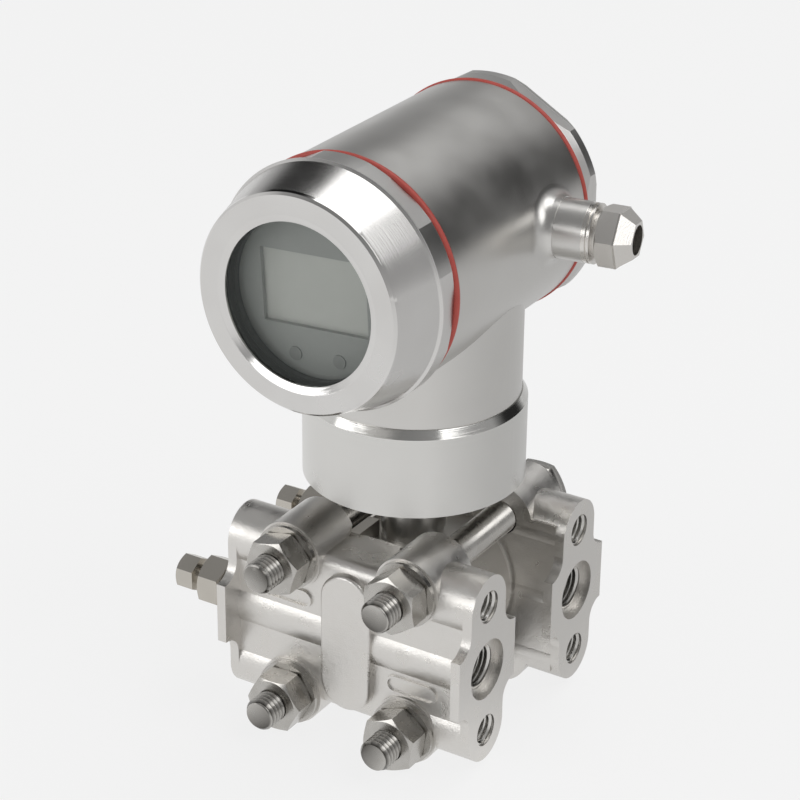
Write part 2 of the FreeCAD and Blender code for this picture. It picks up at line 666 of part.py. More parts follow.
def sensor_capsule():
    """Round capsule with a flat on top, a threaded seat for the neck and two diaphragm beds."""
    body = new_body("capsule_body")
    disc = sketch_on(body, "XZ_Plane", -D.capsule_half)
    circle(disc, 0, 0, D.capsule_radius)
    pad(body, disc, 2 * D.capsule_half)
    flat = sketch_on(body, "XY_Plane", D.capsule_flat)
    wide = D.capsule_radius
    outline(flat, box_corners(-wide, wide, -wide, wide))
    pocket(body, flat, D.capsule_radius, reverse=True)
    hole = sketch_on(body, "XY_Plane", D.capsule_flat)
    circle(hole, 0, 0, D.neck_thread + D.thread_fit)
    pocket(body, hole, D.neck_deep)
    bed_depth = D.diaphragm_thick + D.diaphragm_gap
    for side in (-1, 1):
        bed = sketch_on(body, "XZ_Plane", side * D.capsule_half)
        circle(bed, 0, 0, D.chamber_radius)
        pocket(body, bed, bed_depth, reverse=(side < 0))
    fill = sketch_on(body, "XZ_Plane", -D.capsule_half)
    circle(fill, 0, 0, D.fill_radius)
    pocket(body, fill, 2 * D.capsule_half, reverse=True)
    seat(body)
    keep(body, "capsule_body")


def capsule_trim(name, side):
    """Isolating diaphragm with pressed rings, and the gasket of one side."""
    outward = TO_FRONT if side < 0 else TO_REAR
    inner = D.capsule_half - D.diaphragm_thick
    outer = D.capsule_half
    radius = D.chamber_radius
    wave = D.diaphragm_thick
    rings = [0.35, 0.47, 0.59, 0.71, 0.83]
    lower, upper = [(0, inner)], [(0, outer)]
    for index, share in enumerate(rings):
        lift = wave if index % 2 else 0.0
        lower.append((radius * share, inner + lift))
        upper.append((radius * share, outer + lift))
    lower.append((radius, inner))
    upper.append((radius, outer))
    diaphragm = turned(name + "_diaphragm", lower + upper[::-1])
    seat(diaphragm, 0, 0, 0, *outward)
    keep(diaphragm, name + "_diaphragm")
    depth = D.capsule_half + D.gasket_depth
    gasket = turned(name + "_gasket", [
        (D.gasket_inner, D.capsule_half), (D.gasket_outer, D.capsule_half),
        (D.gasket_outer, depth), (D.gasket_inner, depth)])
    seat(gasket, 0, 0, 0, *outward)
    keep(gasket, name + "_gasket")


def locating_key():
    """Small bar on the capsule's flat that seats in the slot of the front flange."""
    body = new_body("locating_key")
    bar = sketch_on(body, "YZ_Plane", -D.key_x - D.key_width / 2)
    step = D.flange_half_tall - D.key_slot
    outline(bar, [
        (-D.key_back, D.capsule_flat), (-D.capsule_half, D.capsule_flat), (-D.capsule_half, step),
        (-D.key_front, step), (-D.key_front, D.key_top), (-D.key_back, D.key_top)])
    pad(body, bar, D.key_width)
    seat(body)
    keep(body, "locating_key")


def cylinder(name, radius, length, x, y, z, facing):
    """A plain round bar from a point along a direction."""
    thing = doc.addObject("Part::Cylinder", name)
    bind(thing, "Radius", radius)
    bind(thing, "Height", length)
    return seat(thing, x, y, z, *facing)


def hexagon_bar(name, flats, length, x, y, z, facing, turn):
    """A hexagonal bar from a point along a direction, turned about its own axis."""
    thing = doc.addObject("Part::Prism", name)
    thing.Polygon = 6
    bind(thing, "Circumradius", flats / math.sqrt(3))
    bind(thing, "Height", length)
    seat(thing, x, y, z)
    axis, angle = facing
    lay = FreeCAD.Rotation(FreeCAD.Vector(*axis), angle)
    spin = FreeCAD.Rotation(FreeCAD.Vector(0, 0, 1), turn)
    thing.Placement = FreeCAD.Placement(thing.Placement.Base, lay.multiply(spin))
    return thing


def crown(name, flats, length, x, y, z, facing):
    """The turned envelope that rounds off a hexagon's corners at both ends."""
    thing = turned(name, [
        (0, 0), (flats * 0.49, 0), (flats * 0.62, flats * 0.075), (flats * 0.62, length - flats * 0.075),
        (flats * 0.49, length), (0, length)])
    return seat(thing, x, y, z, *facing)


def join(kind, name, pieces):
    """A boolean or a group of pieces."""
    thing = doc.addObject("Part::" + kind, name)
    if kind == "Compound":
        thing.Links = pieces
    elif kind in ("MultiFuse", "MultiCommon"):
        thing.Shapes = pieces
    else:
        thing.Base, thing.Tool = pieces
    return thing


def clamp_hardware():
    """Four through bolts, headed behind, with washers and nuts in front."""
    bolts, nuts, washers = [], [], []
    nut_back = D.boss_face + D.washer_thick
    for number, (side, height) in enumerate(CORNERS):
        x, z = side * D.boss_x, height * D.boss_z
        tag = str(number + 1)
        head = hexagon_bar("bolt_hex" + tag, D.hex_flats, D.bolt_head, x, D.boss_face, z, TO_REAR,
                           HEAD_TURNS[(side, height)])
        envelope = crown("bolt_crown" + tag, D.hex_flats, D.bolt_head, x, D.boss_face, z, TO_REAR)
        head = join("MultiCommon", "bolt_head" + tag, [head, envelope])
        shank = cylinder("bolt_shank" + tag, D.bolt_radius, D.bolt_long - D.bolt_chamfer, x,
                         D.boss_face, z, TO_FRONT)
        point = doc.addObject("Part::Cone", "bolt_point" + tag)
        bind(point, "Radius1", D.bolt_radius)
        bind(point, "Radius2", D.bolt_radius - D.bolt_chamfer)
        bind(point, "Height", D.bolt_chamfer)
        seat(point, x, D.boss_face - D.bolt_long + D.bolt_chamfer, z, *TO_FRONT)
        bolts.append(join("MultiFuse", "bolt" + tag, [head, shank, point]))
        blank = hexagon_bar("nut_hex" + tag, D.hex_flats, D.nut_tall, x, -nut_back, z, TO_FRONT,
                            NUT_TURNS[(side, height)])
        envelope = crown("nut_crown" + tag, D.hex_flats, D.nut_tall, x, -nut_back, z, TO_FRONT)
        blank = join("MultiCommon", "nut_blank" + tag, [blank, envelope])
        hole = cylinder("nut_hole" + tag, D.bolt_radius + D.thread_fit, D.nut_tall, x, -nut_back, z,
                        TO_FRONT)
        nuts.append(join("Cut", "nut" + tag, [blank, hole]))
        disc = cylinder("washer_disc" + tag, D.washer_radius, D.washer_thick, x, -D.boss_face, z,
                        TO_FRONT)
        hole = cylinder("washer_hole" + tag, D.bolt_hole, D.washer_thick, x, -D.boss_face, z,
                        TO_FRONT)
        washers.append(join("Cut", "washer" + tag, [disc, hole]))
    keep(join("Compound", "clamp_bolts", bolts), "clamp_bolts")
    keep(join("Compound", "clamp_nuts", nuts), "clamp_nuts")
    keep(join("Compound", "clamp_washers", washers), "clamp_washers")


def vent_valve(name, side):
    """Vent body in the port opposite the process side, its ball and its screw."""
    y = side * D.port_axis
    thread_end = D.port_face - D.port_depth + 2
    thread = D.port_bore - D.thread_fit
    body = turned(name + "_body", [
        (D.vent_hole, thread_end), (thread, thread_end), (thread, D.port_face - D.recess_depth),
        (D.vent_neck, D.port_face - D.recess_depth + 0.5), (D.vent_neck, D.vent_hex_end),
        (D.vent_bore, D.vent_hex_end), (D.vent_bore, D.vent_seat), (D.vent_hole, D.vent_seat)])
    hexagon = sketch_on(body, "XY_Plane", D.vent_hex_start)
    outline(hexagon, regular(6, D.vent_flats, 0))
    circle(hexagon, 0, 0, D.vent_bore)
    pad(body, hexagon, D.vent_hex_long)
    chamfer_hexagon(body, D.vent_flats, D.vent_hex_end, 1)
    chamfer_hexagon(body, D.vent_flats, D.vent_hex_start, -1)
    seat(body, 0, y, 0, *TO_LEFT)
    keep(body, name + "_body")
    ball = doc.addObject("Part::Sphere", name + "_sphere")
    bind(ball, "Radius", D.vent_ball)
    seat(ball, -(D.vent_seat + D.vent_ball_rise), y, 0)
    keep(ball, name + "_ball")
    stem = D.vent_seat + D.vent_ball_rise + D.vent_ball
    screw = turned(name + "_screw", [
        (0, stem), (D.vent_shank, stem), (D.vent_shank, D.vent_head_end - 1), (0, D.vent_head_end - 1)])
    hexagon = sketch_on(screw, "XY_Plane", D.vent_head_start)
    outline(hexagon, regular(6, D.vent_head_flats, 0))
    pad(screw, hexagon, D.vent_head)
    chamfer_hexagon(screw, D.vent_head_flats, D.vent_head_end, 1)
    seat(screw, 0, y, 0, *TO_LEFT)
    keep(screw, name + "_screw")


def sensor_neck():
    """Neck between capsule and collar, with its wire bore, and the sensor board on top."""
    neck = turned("sensor_neck", [
        (D.neck_bore, D.neck_root), (D.neck_thread, D.neck_root), (D.neck_thread, D.neck_foot),
        (D.neck_radius, D.neck_foot), (D.neck_radius, D.collar_foot), (D.neck_spigot, D.collar_foot),
        (D.neck_spigot, D.neck_top), (D.neck_bore, D.neck_top)])
    seat(neck)
    keep(neck, "sensor_neck")
    board_top = D.neck_top + D.board_thick
    board = turned("sensor_board", [
        (0, D.neck_top), (D.header_radius, D.neck_top), (D.header_radius, board_top), (0, board_top)])
    seat(board)
    keep(board, "sensor_board")


def head_collar():
    """Collar that carries the head, its seal and its lock screw."""
    floor_top = D.collar_foot + D.collar_floor
    floor_hole = D.neck_spigot + D.thread_fit
    body = turned("collar", [
        (floor_hole, D.collar_foot), (D.collar_radius, D.collar_foot),
        (D.collar_radius, D.collar_shoulder), (D.head_neck + D.collar_land, D.collar_top),
        (D.collar_bore, D.collar_top), (D.collar_bore, floor_top), (floor_hole, floor_top)])
    hole = sketch_on(body, "XZ_Plane", -D.collar_radius)
    circle(hole, 0, D.lock_z, D.lock_radius)
    pocket(body, hole, D.collar_radius - D.collar_bore + 2, reverse=True)
    seat(body)
    keep(body, "collar")
    groove_floor = D.collar_bore - D.head_fit - 2 * D.collar_seal
    ring = doc.addObject("Part::Torus", "collar_ring")
    bind(ring, "Radius1", groove_floor + D.collar_seal)
    bind(ring, "Radius2", D.collar_seal)
    seat(ring, 0, 0, D.collar_seal_z)
    keep(ring, "collar_seal")
    outer, edge = D.collar_radius - D.lock_sunk, D.lock_sunk
    screw = turned("head_lock_screw", [
        (0, D.collar_bore), (D.lock_radius - edge, D.collar_bore), (D.lock_radius, D.collar_bore + edge),
        (D.lock_radius, outer), (0, outer)])
    socket = sketch_on(screw, "XY_Plane", outer)
    outline(socket, regular(6, D.lock_key, 0))
    pocket(screw, socket, 0.75 * D.lock_key)
    seat(screw, 0, 0, D.lock_z, *TO_REAR)
    keep(screw, "head_lock_screw")


def entry_frame(along):
    """Shift and offset of a sketch square to the cable entry's axis, at a distance from its lip."""
    y = D.entry_y + along * sine(D.entry_turn)
    x = D.entry_x + along * cosine(D.entry_turn)
    return (y, D.head_z + D.entry_rise), x


def entry_sketch(body, along):
    shift, offset = entry_frame(as_size(along))
    return sketch_on(body, "YZ_Plane", offset, shift, D.entry_turn)


def from_tube_axis(point):
    """How far a point is from the head tube's axis."""
    return math.hypot(point.x, point.z - D.head_z.value)


def from_entry_axis(point):
    """How far a point is from the cable entry's axis."""
    turn = math.radians(D.entry_turn.value)
    across = (point.y - D.entry_y.value) * math.cos(turn) - (point.x - D.entry_x.value) * math.sin(turn)
    return math.hypot(across, point.z - D.head_z.value - D.entry_rise.value)


def on_surface(edge, measure, size):
    """Whether an edge keeps one distance all the way, at three of its points."""
    low, high = edge.ParameterRange
    for share in (0.2, 0.5, 0.8):
        point = edge.valueAt(low + (high - low) * share)
        if abs(measure(point) - size.value) > 0.01:
            return False
    return True


def housing():
    """Head tube for the two covers, with its partition wall and the cable entry."""
    body = new_body("housing")
    # Tube
    tube = sketch_on(body, "XZ_Plane", -D.tube_half)
    circle(tube, 0, D.head_z, D.tube_radius)
    pad(body, tube, 2 * D.tube_half)
    # Cable entry, run into the tube with an inside round and turned down beyond its lip
    entry = entry_sketch(body, -D.entry_sunk)
    circle(entry, 0, 0, D.entry_root)
    pad(body, entry, D.entry_sunk + D.entry_long)
    fillet(body, D.entry_saddle, lambda edge: on_surface(edge, from_tube_axis, D.tube_radius)
           and on_surface(edge, from_entry_axis, D.entry_root))
    rim = entry_sketch(body, 0)
    circle(rim, 0, 0, D.entry_root + D.entry_saddle)
    circle(rim, 0, 0, D.entry_radius)
    pocket(body, rim, D.entry_long, reverse=True)
    # Wire bore from below, opening into both compartments
    bore = sketch_on(body, "XY_Plane", D.collar_top)
    circle(bore, 0, 0, D.head_bore)
    pocket(body, bore, D.head_rise - D.head_bore_low, reverse=True)
    # Front and rear compartments with the covers' threaded ends
    front = sketch_on(body, "XZ_Plane", D.tube_half)
    circle(front, 0, D.head_z, D.tube_bore)
    pocket(body, front, D.tube_half + D.wall_front)
    rear = sketch_on(body, "XZ_Plane", -D.tube_half)
    circle(rear, 0, D.head_z, D.tube_bore)
    pocket(body, rear, D.tube_half - D.wall_back, reverse=True)
    for side in (-1, 1):
        thread = sketch_on(body, "XZ_Plane", side * D.tube_half)
        circle(thread, 0, D.head_z, D.thread_bore)
        pocket(body, thread, D.thread_depth, reverse=(side < 0))
    # Tapped bore of the cable entry
    cable = entry_sketch(body, D.entry_long)
    circle(cable, 0, 0, D.entry_bore)
    pocket(body, cable, D.entry_long + D.entry_reach)
    seat(body)
    keep(body, "housing")


def head_neck():
    """Round neck, saddled and welded to the tube, with the spigot that turns in the collar."""
    body = new_body("head_neck")
    neck = sketch_on(body, "XY_Plane", D.collar_top)
    circle(neck, 0, 0, D.head_neck)
    pad(body, neck, D.head_rise)
    saddle = sketch_on(body, "XZ_Plane", -D.tube_half)
    circle(saddle, 0, D.head_z, D.tube_radius)
    pocket(body, saddle, 2 * D.tube_half, reverse=True)
    # Spigot that turns in the collar, with its seal groove
    spigot = sketch_on(body, "XY_Plane", D.head_spigot_foot)
    circle(spigot, 0, 0, D.collar_bore - D.head_fit)
    pad(body, spigot, D.head_spigot)
    groove = sketch_on(body, "XY_Plane", D.collar_seal_z - D.collar_seal - D.seal_play)
    circle(groove, 0, 0, D.collar_bore)
    circle(groove, 0, 0, D.collar_bore - D.head_fit - 2 * D.collar_seal)
    pocket(body, groove, 2 * D.collar_seal + 2 * D.seal_play, reverse=True)
    bore = sketch_on(body, "XY_Plane", D.head_spigot_foot)
    circle(bore, 0, 0, D.head_bore)
    pocket(body, bore, D.head_spigot + D.head_rise, reverse=True)
    seat(body)
    keep(body, "head_neck")


def cover_seals():
    """Two round seals between the tube's ends and the covers."""
    for name, side in (("front_seal", -1), ("rear_seal", 1)):
        ring = doc.addObject("Part::Torus", name + "_ring")
        bind(ring, "Radius1", D.seal_ring)
        bind(ring, "Radius2", D.seal_section)
        seat(ring, 0, side * (D.tube_half + D.seal_gap / 2), D.head_z, *TO_REAR)
        keep(ring, name)


def cut_flats(body, length, turn):
    """Flats round a cover's band, for a wrench."""
    flats = sketch_on(body, "XY_Plane", D.cover_back)
    circle(flats, 0, 0, D.band_flats)
    outline(flats, regular(BAND_SIDES, D.band_flats, turn + 180 / BAND_SIDES))
    pocket(body, flats, length, reverse=True)


def front_cover():
    """Display cover: threaded skirt, band with flats, cone, and the window with its ring."""
    seat_bore = D.glass_radius + D.thread_fit
    wall = D.skirt_radius - D.skirt_wall
    body = turned("front_cover", [
        (wall, D.skirt_end), (D.skirt_radius, D.skirt_end), (D.skirt_radius, D.cover_back),
        (D.band_back, D.cover_back), (D.band_radius, D.cover_back + D.band_bevel),
        (D.band_radius, D.cone_start - D.band_lip),
        (D.cone_radius, D.cone_start), (D.cone_small, D.cone_end),
        (D.cone_small - D.face_bevel, D.front_face), (D.window_radius + D.window_bevel, D.front_face),
        (D.window_radius, D.front_face - D.window_bevel_deep), (D.window_radius, D.glass_seat),
        (seat_bore, D.glass_seat), (seat_bore, D.retainer_back), (D.cover_cavity, D.retainer_back),
        (D.cover_cavity, D.cover_back), (wall, D.cover_back)])
    cut_flats(body, D.band_long, D.flat_turn)
    seat(body, 0, 0, D.head_z, *TO_FRONT)
    keep(body, "front_cover")
    stack = [
        ("window_glass", 0.0, D.glass_back, D.glass_seat),
        ("window_gasket", D.glass_radius - D.gasket_width, D.gasket_back, D.glass_back),
        ("window_retainer", D.retainer_inner, D.retainer_back, D.gasket_back)]
    for name, inner, low, high in stack:
        outer = D.glass_radius
        piece = turned(name, [(inner, low), (outer, low), (outer, high), (inner, high)])
        seat(piece, 0, 0, D.head_z, *TO_FRONT)
        keep(piece, name)


def rear_cover():
    """Blank cover of the terminal compartment."""
    wall = D.skirt_radius - D.skirt_wall
    end = D.cover_back + D.rear_band
    body = turned("rear_cover", [
        (wall, D.skirt_end), (D.skirt_radius, D.skirt_end), (D.skirt_radius, D.cover_back),
        (D.band_back, D.cover_back), (D.band_radius, D.cover_back + D.band_bevel),
        (D.band_radius, end - D.rear_round),
        (D.band_radius - D.rear_round, end), (0, end), (0, end - D.rear_plate),
        (wall, end - D.rear_plate)])
    cut_flats(body, D.rear_band, -D.rear_flat_turn)
    seat(body, 0, 0, D.head_z, *TO_REAR)
    keep(body, "rear_cover")


def seat_display(thing):
    """Place a display piece, drawn about the head's axis, with the module's small turn."""
    return seat(thing, 0, 0, D.head_z, (0, 1, 0), -D.display_turn)


def display_module():
    """Display frame, screen, two buttons with their switches, and the board behind them."""
    body = new_body("display_frame")
    disc = sketch_on(body, "XZ_Plane", D.display_board_y)
    circle(disc, 0, 0, D.display_radius)
    pad(body, disc, D.display_face - D.display_board_y)
    hollow = sketch_on(body, "XZ_Plane", D.display_board_y)
    circle(hollow, 0, 0, D.display_radius - D.display_rim)
    pocket(body, hollow, D.display_face - D.display_board_y - D.display_plate, reverse=True)
    window = sketch_on(body, "XZ_Plane", D.display_face)
    wide, tall, rise = D.screen_half_wide, D.screen_half_tall, D.screen_rise
    outline(window, box_corners(-wide, wide, rise - tall, rise + tall))
    for side in (-1, 1):
        circle(window, side * D.button_x, -D.button_drop, D.button_radius + D.button_fit)
    pocket(body, window, D.display_plate)
    seat_display(body)
    keep(body, "display_frame")
    plate_back = D.display_face - D.display_plate
    screen = new_body("screen")
    border = D.screen_border
    panel = sketch_on(screen, "XZ_Plane", D.display_board_y)
    outline(panel, box_corners(-wide - border, wide + border, rise - tall - border, rise + tall + border))
    pad(screen, panel, plate_back - D.display_board_y)
    seat_display(screen)
    keep(screen, "screen")
    collar_front = plate_back - D.collar_play
    collar_back = collar_front - D.collar_thick
    switch_top = D.display_board_y + D.switch_tall
    foot = switch_top + D.switch_gap
    switches = []
    for name, side in (("button_left", -1), ("button_right", 1)):
        button = turned(name, [
            (0, foot), (D.button_stem, foot), (D.button_stem, collar_back),
            (D.button_collar, collar_back), (D.button_collar, collar_front),
            (D.button_radius, collar_front), (D.button_radius, D.display_face + D.button_proud),
            (0, D.display_face + D.button_proud)])
        axis, angle = TO_FRONT
        seat(button, 0, 0, 0, axis, angle)
        place_on_display(button, side)
        keep(button, name)
        switch = doc.addObject("Part::Cylinder", name + "_switch")
        bind(switch, "Radius", D.button_radius)
        bind(switch, "Height", D.switch_tall)
        seat(switch, 0, 0, 0, axis, angle)
        place_on_display(switch, side, D.display_board_y)
        switches.append(switch)
    keep(join("Compound", "button_switches", switches), "button_switches")


def place_on_display(thing, side, forward=0.0):
    """Move a button or switch to its place on the turned display."""
    turn = D.display_turn
    u, v = side * D.button_x, -D.button_drop
    bind(thing, "Placement.Base.x", u * cosine(turn) - v * sine(turn) - D.port_face)
    bind(thing, "Placement.Base.y", -as_size(forward))
    bind(thing, "Placement.Base.z", D.head_z + u * sine(turn) + v * cosine(turn))


def board_stack():
    """Display board and main board on posts that stand on the partition wall."""
    display = turned("display_board", [
        (0, D.display_board_y - D.board_thick), (D.display_radius, D.display_board_y - D.board_thick),
        (D.display_radius, D.display_board_y), (0, D.display_board_y)])
    seat(display, 0, 0, D.head_z, *TO_FRONT)
    keep(display, "display_board")
    main_back = D.main_board_y - D.board_thick
    main = turned("main_board", [
        (0, main_back), (D.main_board_radius, main_back), (D.main_board_radius, D.main_board_y),
        (0, D.main_board_y)])
    seat(main, 0, 0, D.head_z, *TO_FRONT)
    keep(main, "main_board")
    upper, lower, screws = [], [], []
    for angle in (90, 225, 315):
        x = D.post_circle * math.cos(math.radians(angle))
        z = D.head_z + D.post_circle * math.sin(math.radians(angle))
        tag = str(angle)
        gap = D.display_board_y - D.board_thick - D.main_board_y
        upper.append(cylinder("upper_post" + tag, D.post_radius, gap, x, -D.main_board_y, z, TO_FRONT))
        lower.append(cylinder("lower_post" + tag, D.post_radius, main_back + D.wall_front, x,
                              D.wall_front, z, TO_FRONT))
        screws.append(cylinder("board_screw" + tag, D.screw_head, D.screw_head_tall, x,
                               -D.display_board_y, z, TO_FRONT))
    keep(join("Compound", "upper_posts", upper), "upper_posts")
    keep(join("Compound", "lower_posts", lower), "lower_posts")
    keep(join("Compound", "board_screws", screws), "board_screws")


def terminals():
    """Terminal block with wire openings and four clamping screws."""
    body = new_body("terminal_block")
    block = sketch_on(body, "XZ_Plane", -D.wall_back - D.block_deep)
    wide, tall = D.block_half_wide, D.block_half_tall
    outline(block, box_corners(-wide, wide, -tall, tall))
    pad(body, block, D.block_deep)
    places = [(index - 1.5) * D.terminal_pitch for index in range(4)]
    wires = sketch_on(body, "XY_Plane", D.block_half_tall)
    for x in places:
        circle(wires, x, D.wall_back + D.block_deep - D.wire_back, D.wire_hole)
    pocket(body, wires, D.wire_deep)
    heads = sketch_on(body, "XZ_Plane", -D.wall_back - D.block_deep)
    for x in places:
        circle(heads, x, D.terminal_rise, D.terminal_radius)
    pocket(body, heads, D.terminal_sunk, reverse=True)
    seat(body, 0, 0, D.head_z)
    keep(body, "terminal_block")
    screws = []
    for index, x in enumerate(places):
        face = D.wall_back + D.block_deep
        screws.append(cylinder("terminal_screw" + str(index), D.terminal_radius, D.terminal_sunk, x,
                               face, D.head_z + D.terminal_rise, TO_FRONT))
    keep(join("Compound", "terminal_screws", screws), "terminal_screws")


def seat_gland(thing):
    """Place a piece drawn along Z from the entry's lip onto the entry's axis."""
    x, y, z = D.entry_x, D.entry_y, D.head_z + D.entry_rise
    lay = FreeCAD.Rotation(FreeCAD.Vector(0, 0, 1), D.entry_turn.value)
    lay = lay.multiply(FreeCAD.Rotation(FreeCAD.Vector(0, 1, 0), 90))
    seat(thing, x, y, z)
    thing.Placement = FreeCAD.Placement(thing.Placement.Base, lay)
    return thing


def cable_gland():
    """Gland body, grommet, pressure washer and the domed hexagon nut."""
    root = D.entry_long - D.gland_entry_long
    rim, groove = D.gland_ring, D.gland_ring - D.gland_groove
    collar = D.gland_flange_end + 2 * D.gland_groove
    seal_seat = D.gland_bore + D.grommet_step
    body = turned("gland_body", [
        (D.gland_bore, root), (D.gland_entry, root), (D.gland_entry, D.entry_long),
        (rim, D.entry_long), (rim, D.gland_flange_end), (groove, D.gland_flange_end),
        (groove, D.gland_flange_end + D.gland_groove), (rim, D.gland_flange_end + D.gland_groove),
        (rim, collar), (D.gland_thread, collar), (D.gland_thread, D.gland_thread_end),
        (seal_seat, D.gland_thread_end), (seal_seat, D.grommet_foot), (D.gland_bore, D.grommet_foot)])
    seat_gland(body)
    keep(body, "gland_body")
    seal_radius = seal_seat - D.grommet_play
    grommet = turned("gland_grommet", [
        (D.grommet_inner, D.grommet_foot), (seal_radius, D.grommet_foot), (seal_radius, D.grommet_end),
        (D.grommet_inner, D.grommet_end)])
    seat_gland(grommet)
    keep(grommet, "gland_grommet")
    washer = turned("gland_washer", [
        (D.gland_hole, D.grommet_end), (seal_radius, D.grommet_end), (seal_radius, D.thrust_end),
        (D.gland_hole, D.thrust_end)])
    seat_gland(washer)
    keep(washer, "gland_washer")
    nut = new_body("gland_nut")
    hexagon = sketch_on(nut, "XY_Plane", D.gland_nut_start)
    outline(hexagon, regular(6, D.gland_flats, D.gland_turn))
    pad(nut, hexagon, D.gland_hex)
    loft_low = sketch_on(nut, "XY_Plane", D.gland_hex_end)
    outline(loft_low, regular(6, D.gland_flats * 0.97, D.gland_turn))
    loft_high = sketch_on(nut, "XY_Plane", D.gland_tip)
    outline(loft_high, regular(6, 2 * D.gland_tip_radius, D.gland_turn))
    dome = nut.newObject("PartDesign::AdditiveLoft", "gland_dome")
    dome.Profile = loft_low
    dome.Sections = [loft_high]
    dome.Ruled = True
    chamfer_hexagon(nut, D.gland_flats, D.gland_nut_start, -1)
    bore = sketch_on(nut, "XY_Plane", D.gland_nut_start)
    circle(bore, 0, 0, D.gland_thread + D.gland_fit)
    pocket(nut, bore, D.thrust_end - D.gland_nut_start, reverse=True)
    hole = sketch_on(nut, "XY_Plane", D.gland_tip)
    circle(hole, 0, 0, D.gland_hole)
    pocket(nut, hole, D.gland_tip - D.gland_nut_start)
    seat_gland(nut)
    keep(nut, "gland_nut")


process_flange("front_flange", 0, 1)
process_flange("rear_flange", 180, -1)
sensor_capsule()
capsule_trim("front", -1)
capsule_trim("rear", 1)
locating_key()
clamp_hardware()
vent_valve("front_vent", -1)
vent_valve("rear_vent", 1)
sensor_neck()
head_collar()
housing()
head_neck()
cover_seals()
front_cover()
rear_cover()
display_module()
board_stack()
terminals()
cable_gland()
doc.recompute()

# Every object has to be sound before anything is written
faults = [item.Name for item in doc.Objects if {"Invalid", "Error"} & set(item.State)]
for name, thing in PARTS:
    if thing.Shape.isNull() or not thing.Shape.isValid():
        faults.append(name)
if faults:
    raise RuntimeError("unsound: " + ", ".join(faults))

os.makedirs("parts", exist_ok=True)
for name, thing in PARTS:
    thing.Shape.exportStep(os.path.join("parts", name + ".step"))
    box = thing.Shape.BoundBox
    solids = len(thing.Shape.Solids)
    print(f"{name:20s} solids {solids} volume {thing.Shape.Volume:10.1f}"
          f" x {box.XMin:7.2f} {box.XMax:7.2f} y {box.YMin:7.2f} {box.YMax:7.2f}"
          f" z {box.ZMin:7.2f} {box.ZMax:7.2f}")
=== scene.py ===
"""A differential pressure transmitter, dressed for a plain studio.

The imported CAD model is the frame: metres, +X out of the process face, -Y towards the display, +Z up.
"""
import math

import bmesh
import bpy
from mathutils import Matrix, Vector


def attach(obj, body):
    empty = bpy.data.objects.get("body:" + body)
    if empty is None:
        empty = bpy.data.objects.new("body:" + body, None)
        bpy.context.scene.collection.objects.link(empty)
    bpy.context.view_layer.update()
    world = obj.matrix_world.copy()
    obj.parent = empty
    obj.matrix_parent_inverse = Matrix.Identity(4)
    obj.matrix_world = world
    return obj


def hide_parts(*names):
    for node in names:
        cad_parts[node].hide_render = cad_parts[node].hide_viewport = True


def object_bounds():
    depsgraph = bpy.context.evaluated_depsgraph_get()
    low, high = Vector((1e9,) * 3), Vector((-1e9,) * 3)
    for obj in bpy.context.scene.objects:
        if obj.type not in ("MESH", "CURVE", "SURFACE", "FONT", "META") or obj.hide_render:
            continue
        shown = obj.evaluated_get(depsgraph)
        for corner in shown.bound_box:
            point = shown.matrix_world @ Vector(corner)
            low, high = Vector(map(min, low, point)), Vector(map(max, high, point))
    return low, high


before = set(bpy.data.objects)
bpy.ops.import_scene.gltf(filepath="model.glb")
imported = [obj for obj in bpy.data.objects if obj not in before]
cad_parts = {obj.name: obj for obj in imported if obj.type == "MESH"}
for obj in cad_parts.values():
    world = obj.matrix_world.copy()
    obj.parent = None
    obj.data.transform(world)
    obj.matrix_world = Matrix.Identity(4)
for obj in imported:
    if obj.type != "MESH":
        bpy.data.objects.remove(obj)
cad_low, cad_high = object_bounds()

# The camera.
# It stands where the photographer's stood, in front of the display and to its right, looking down.
# It is placed from the upright line that the sensor, the collar and the head stand on.
sensor_x = -0.0419
camera_azimuth = math.radians(31.602)
camera_elevation = math.radians(25.703)
camera_roll = math.radians(0.597)
camera_distance = 0.7555
camera_right = -0.003760
camera_up = 0.057610
backwards = Vector((math.sin(camera_azimuth) * math.cos(camera_elevation),
                    -math.cos(camera_azimuth) * math.cos(camera_elevation),
                    math.sin(camera_elevation)))
level = Vector((math.cos(camera_azimuth), math.sin(camera_azimuth), 0))
upright = backwards.cross(level)
rightwards = level * math.cos(camera_roll) + upright * math.sin(camera_roll)
upwards = upright * math.cos(camera_roll) - level * math.sin(camera_roll)
lens = bpy.data.cameras.new("camera")
lens.sensor_width = 36
lens.lens = 112.06
lens.clip_end = 20
camera = bpy.data.objects.new("camera", lens)
bpy.context.scene.collection.objects.link(camera)
stand = backwards * camera_distance + rightwards * camera_right + upwards * camera_up
camera.matrix_world = Matrix.Translation(stand + Vector((sensor_x, 0, 0))) @ Matrix(
    (rightwards, upwards, backwards)).transposed().to_4x4()
bpy.context.scene.camera = camera

# The floor.
# A pale matt table top. To the camera it is the plain pale ground, a little darker where the object shades
# it;
# to the steel it shows a painted darker reflection towards the back on the right.
table_reach = 6
plain_share = 0.86
# The side where the floor is painted darker in the steel's reflections only
painted_reflection_side = (0.62, 0.78, 0)


def linear(colour):
    """An sRGB hex colour as linear red, green, blue and full alpha."""
    channels = [int(colour[start:start + 2], 16) / 255 for start in (1, 3, 5)]
    return [c / 12.92 if c <= 0.04045 else ((c + 0.055) / 1.055) ** 2.4 for c in channels] + [1]


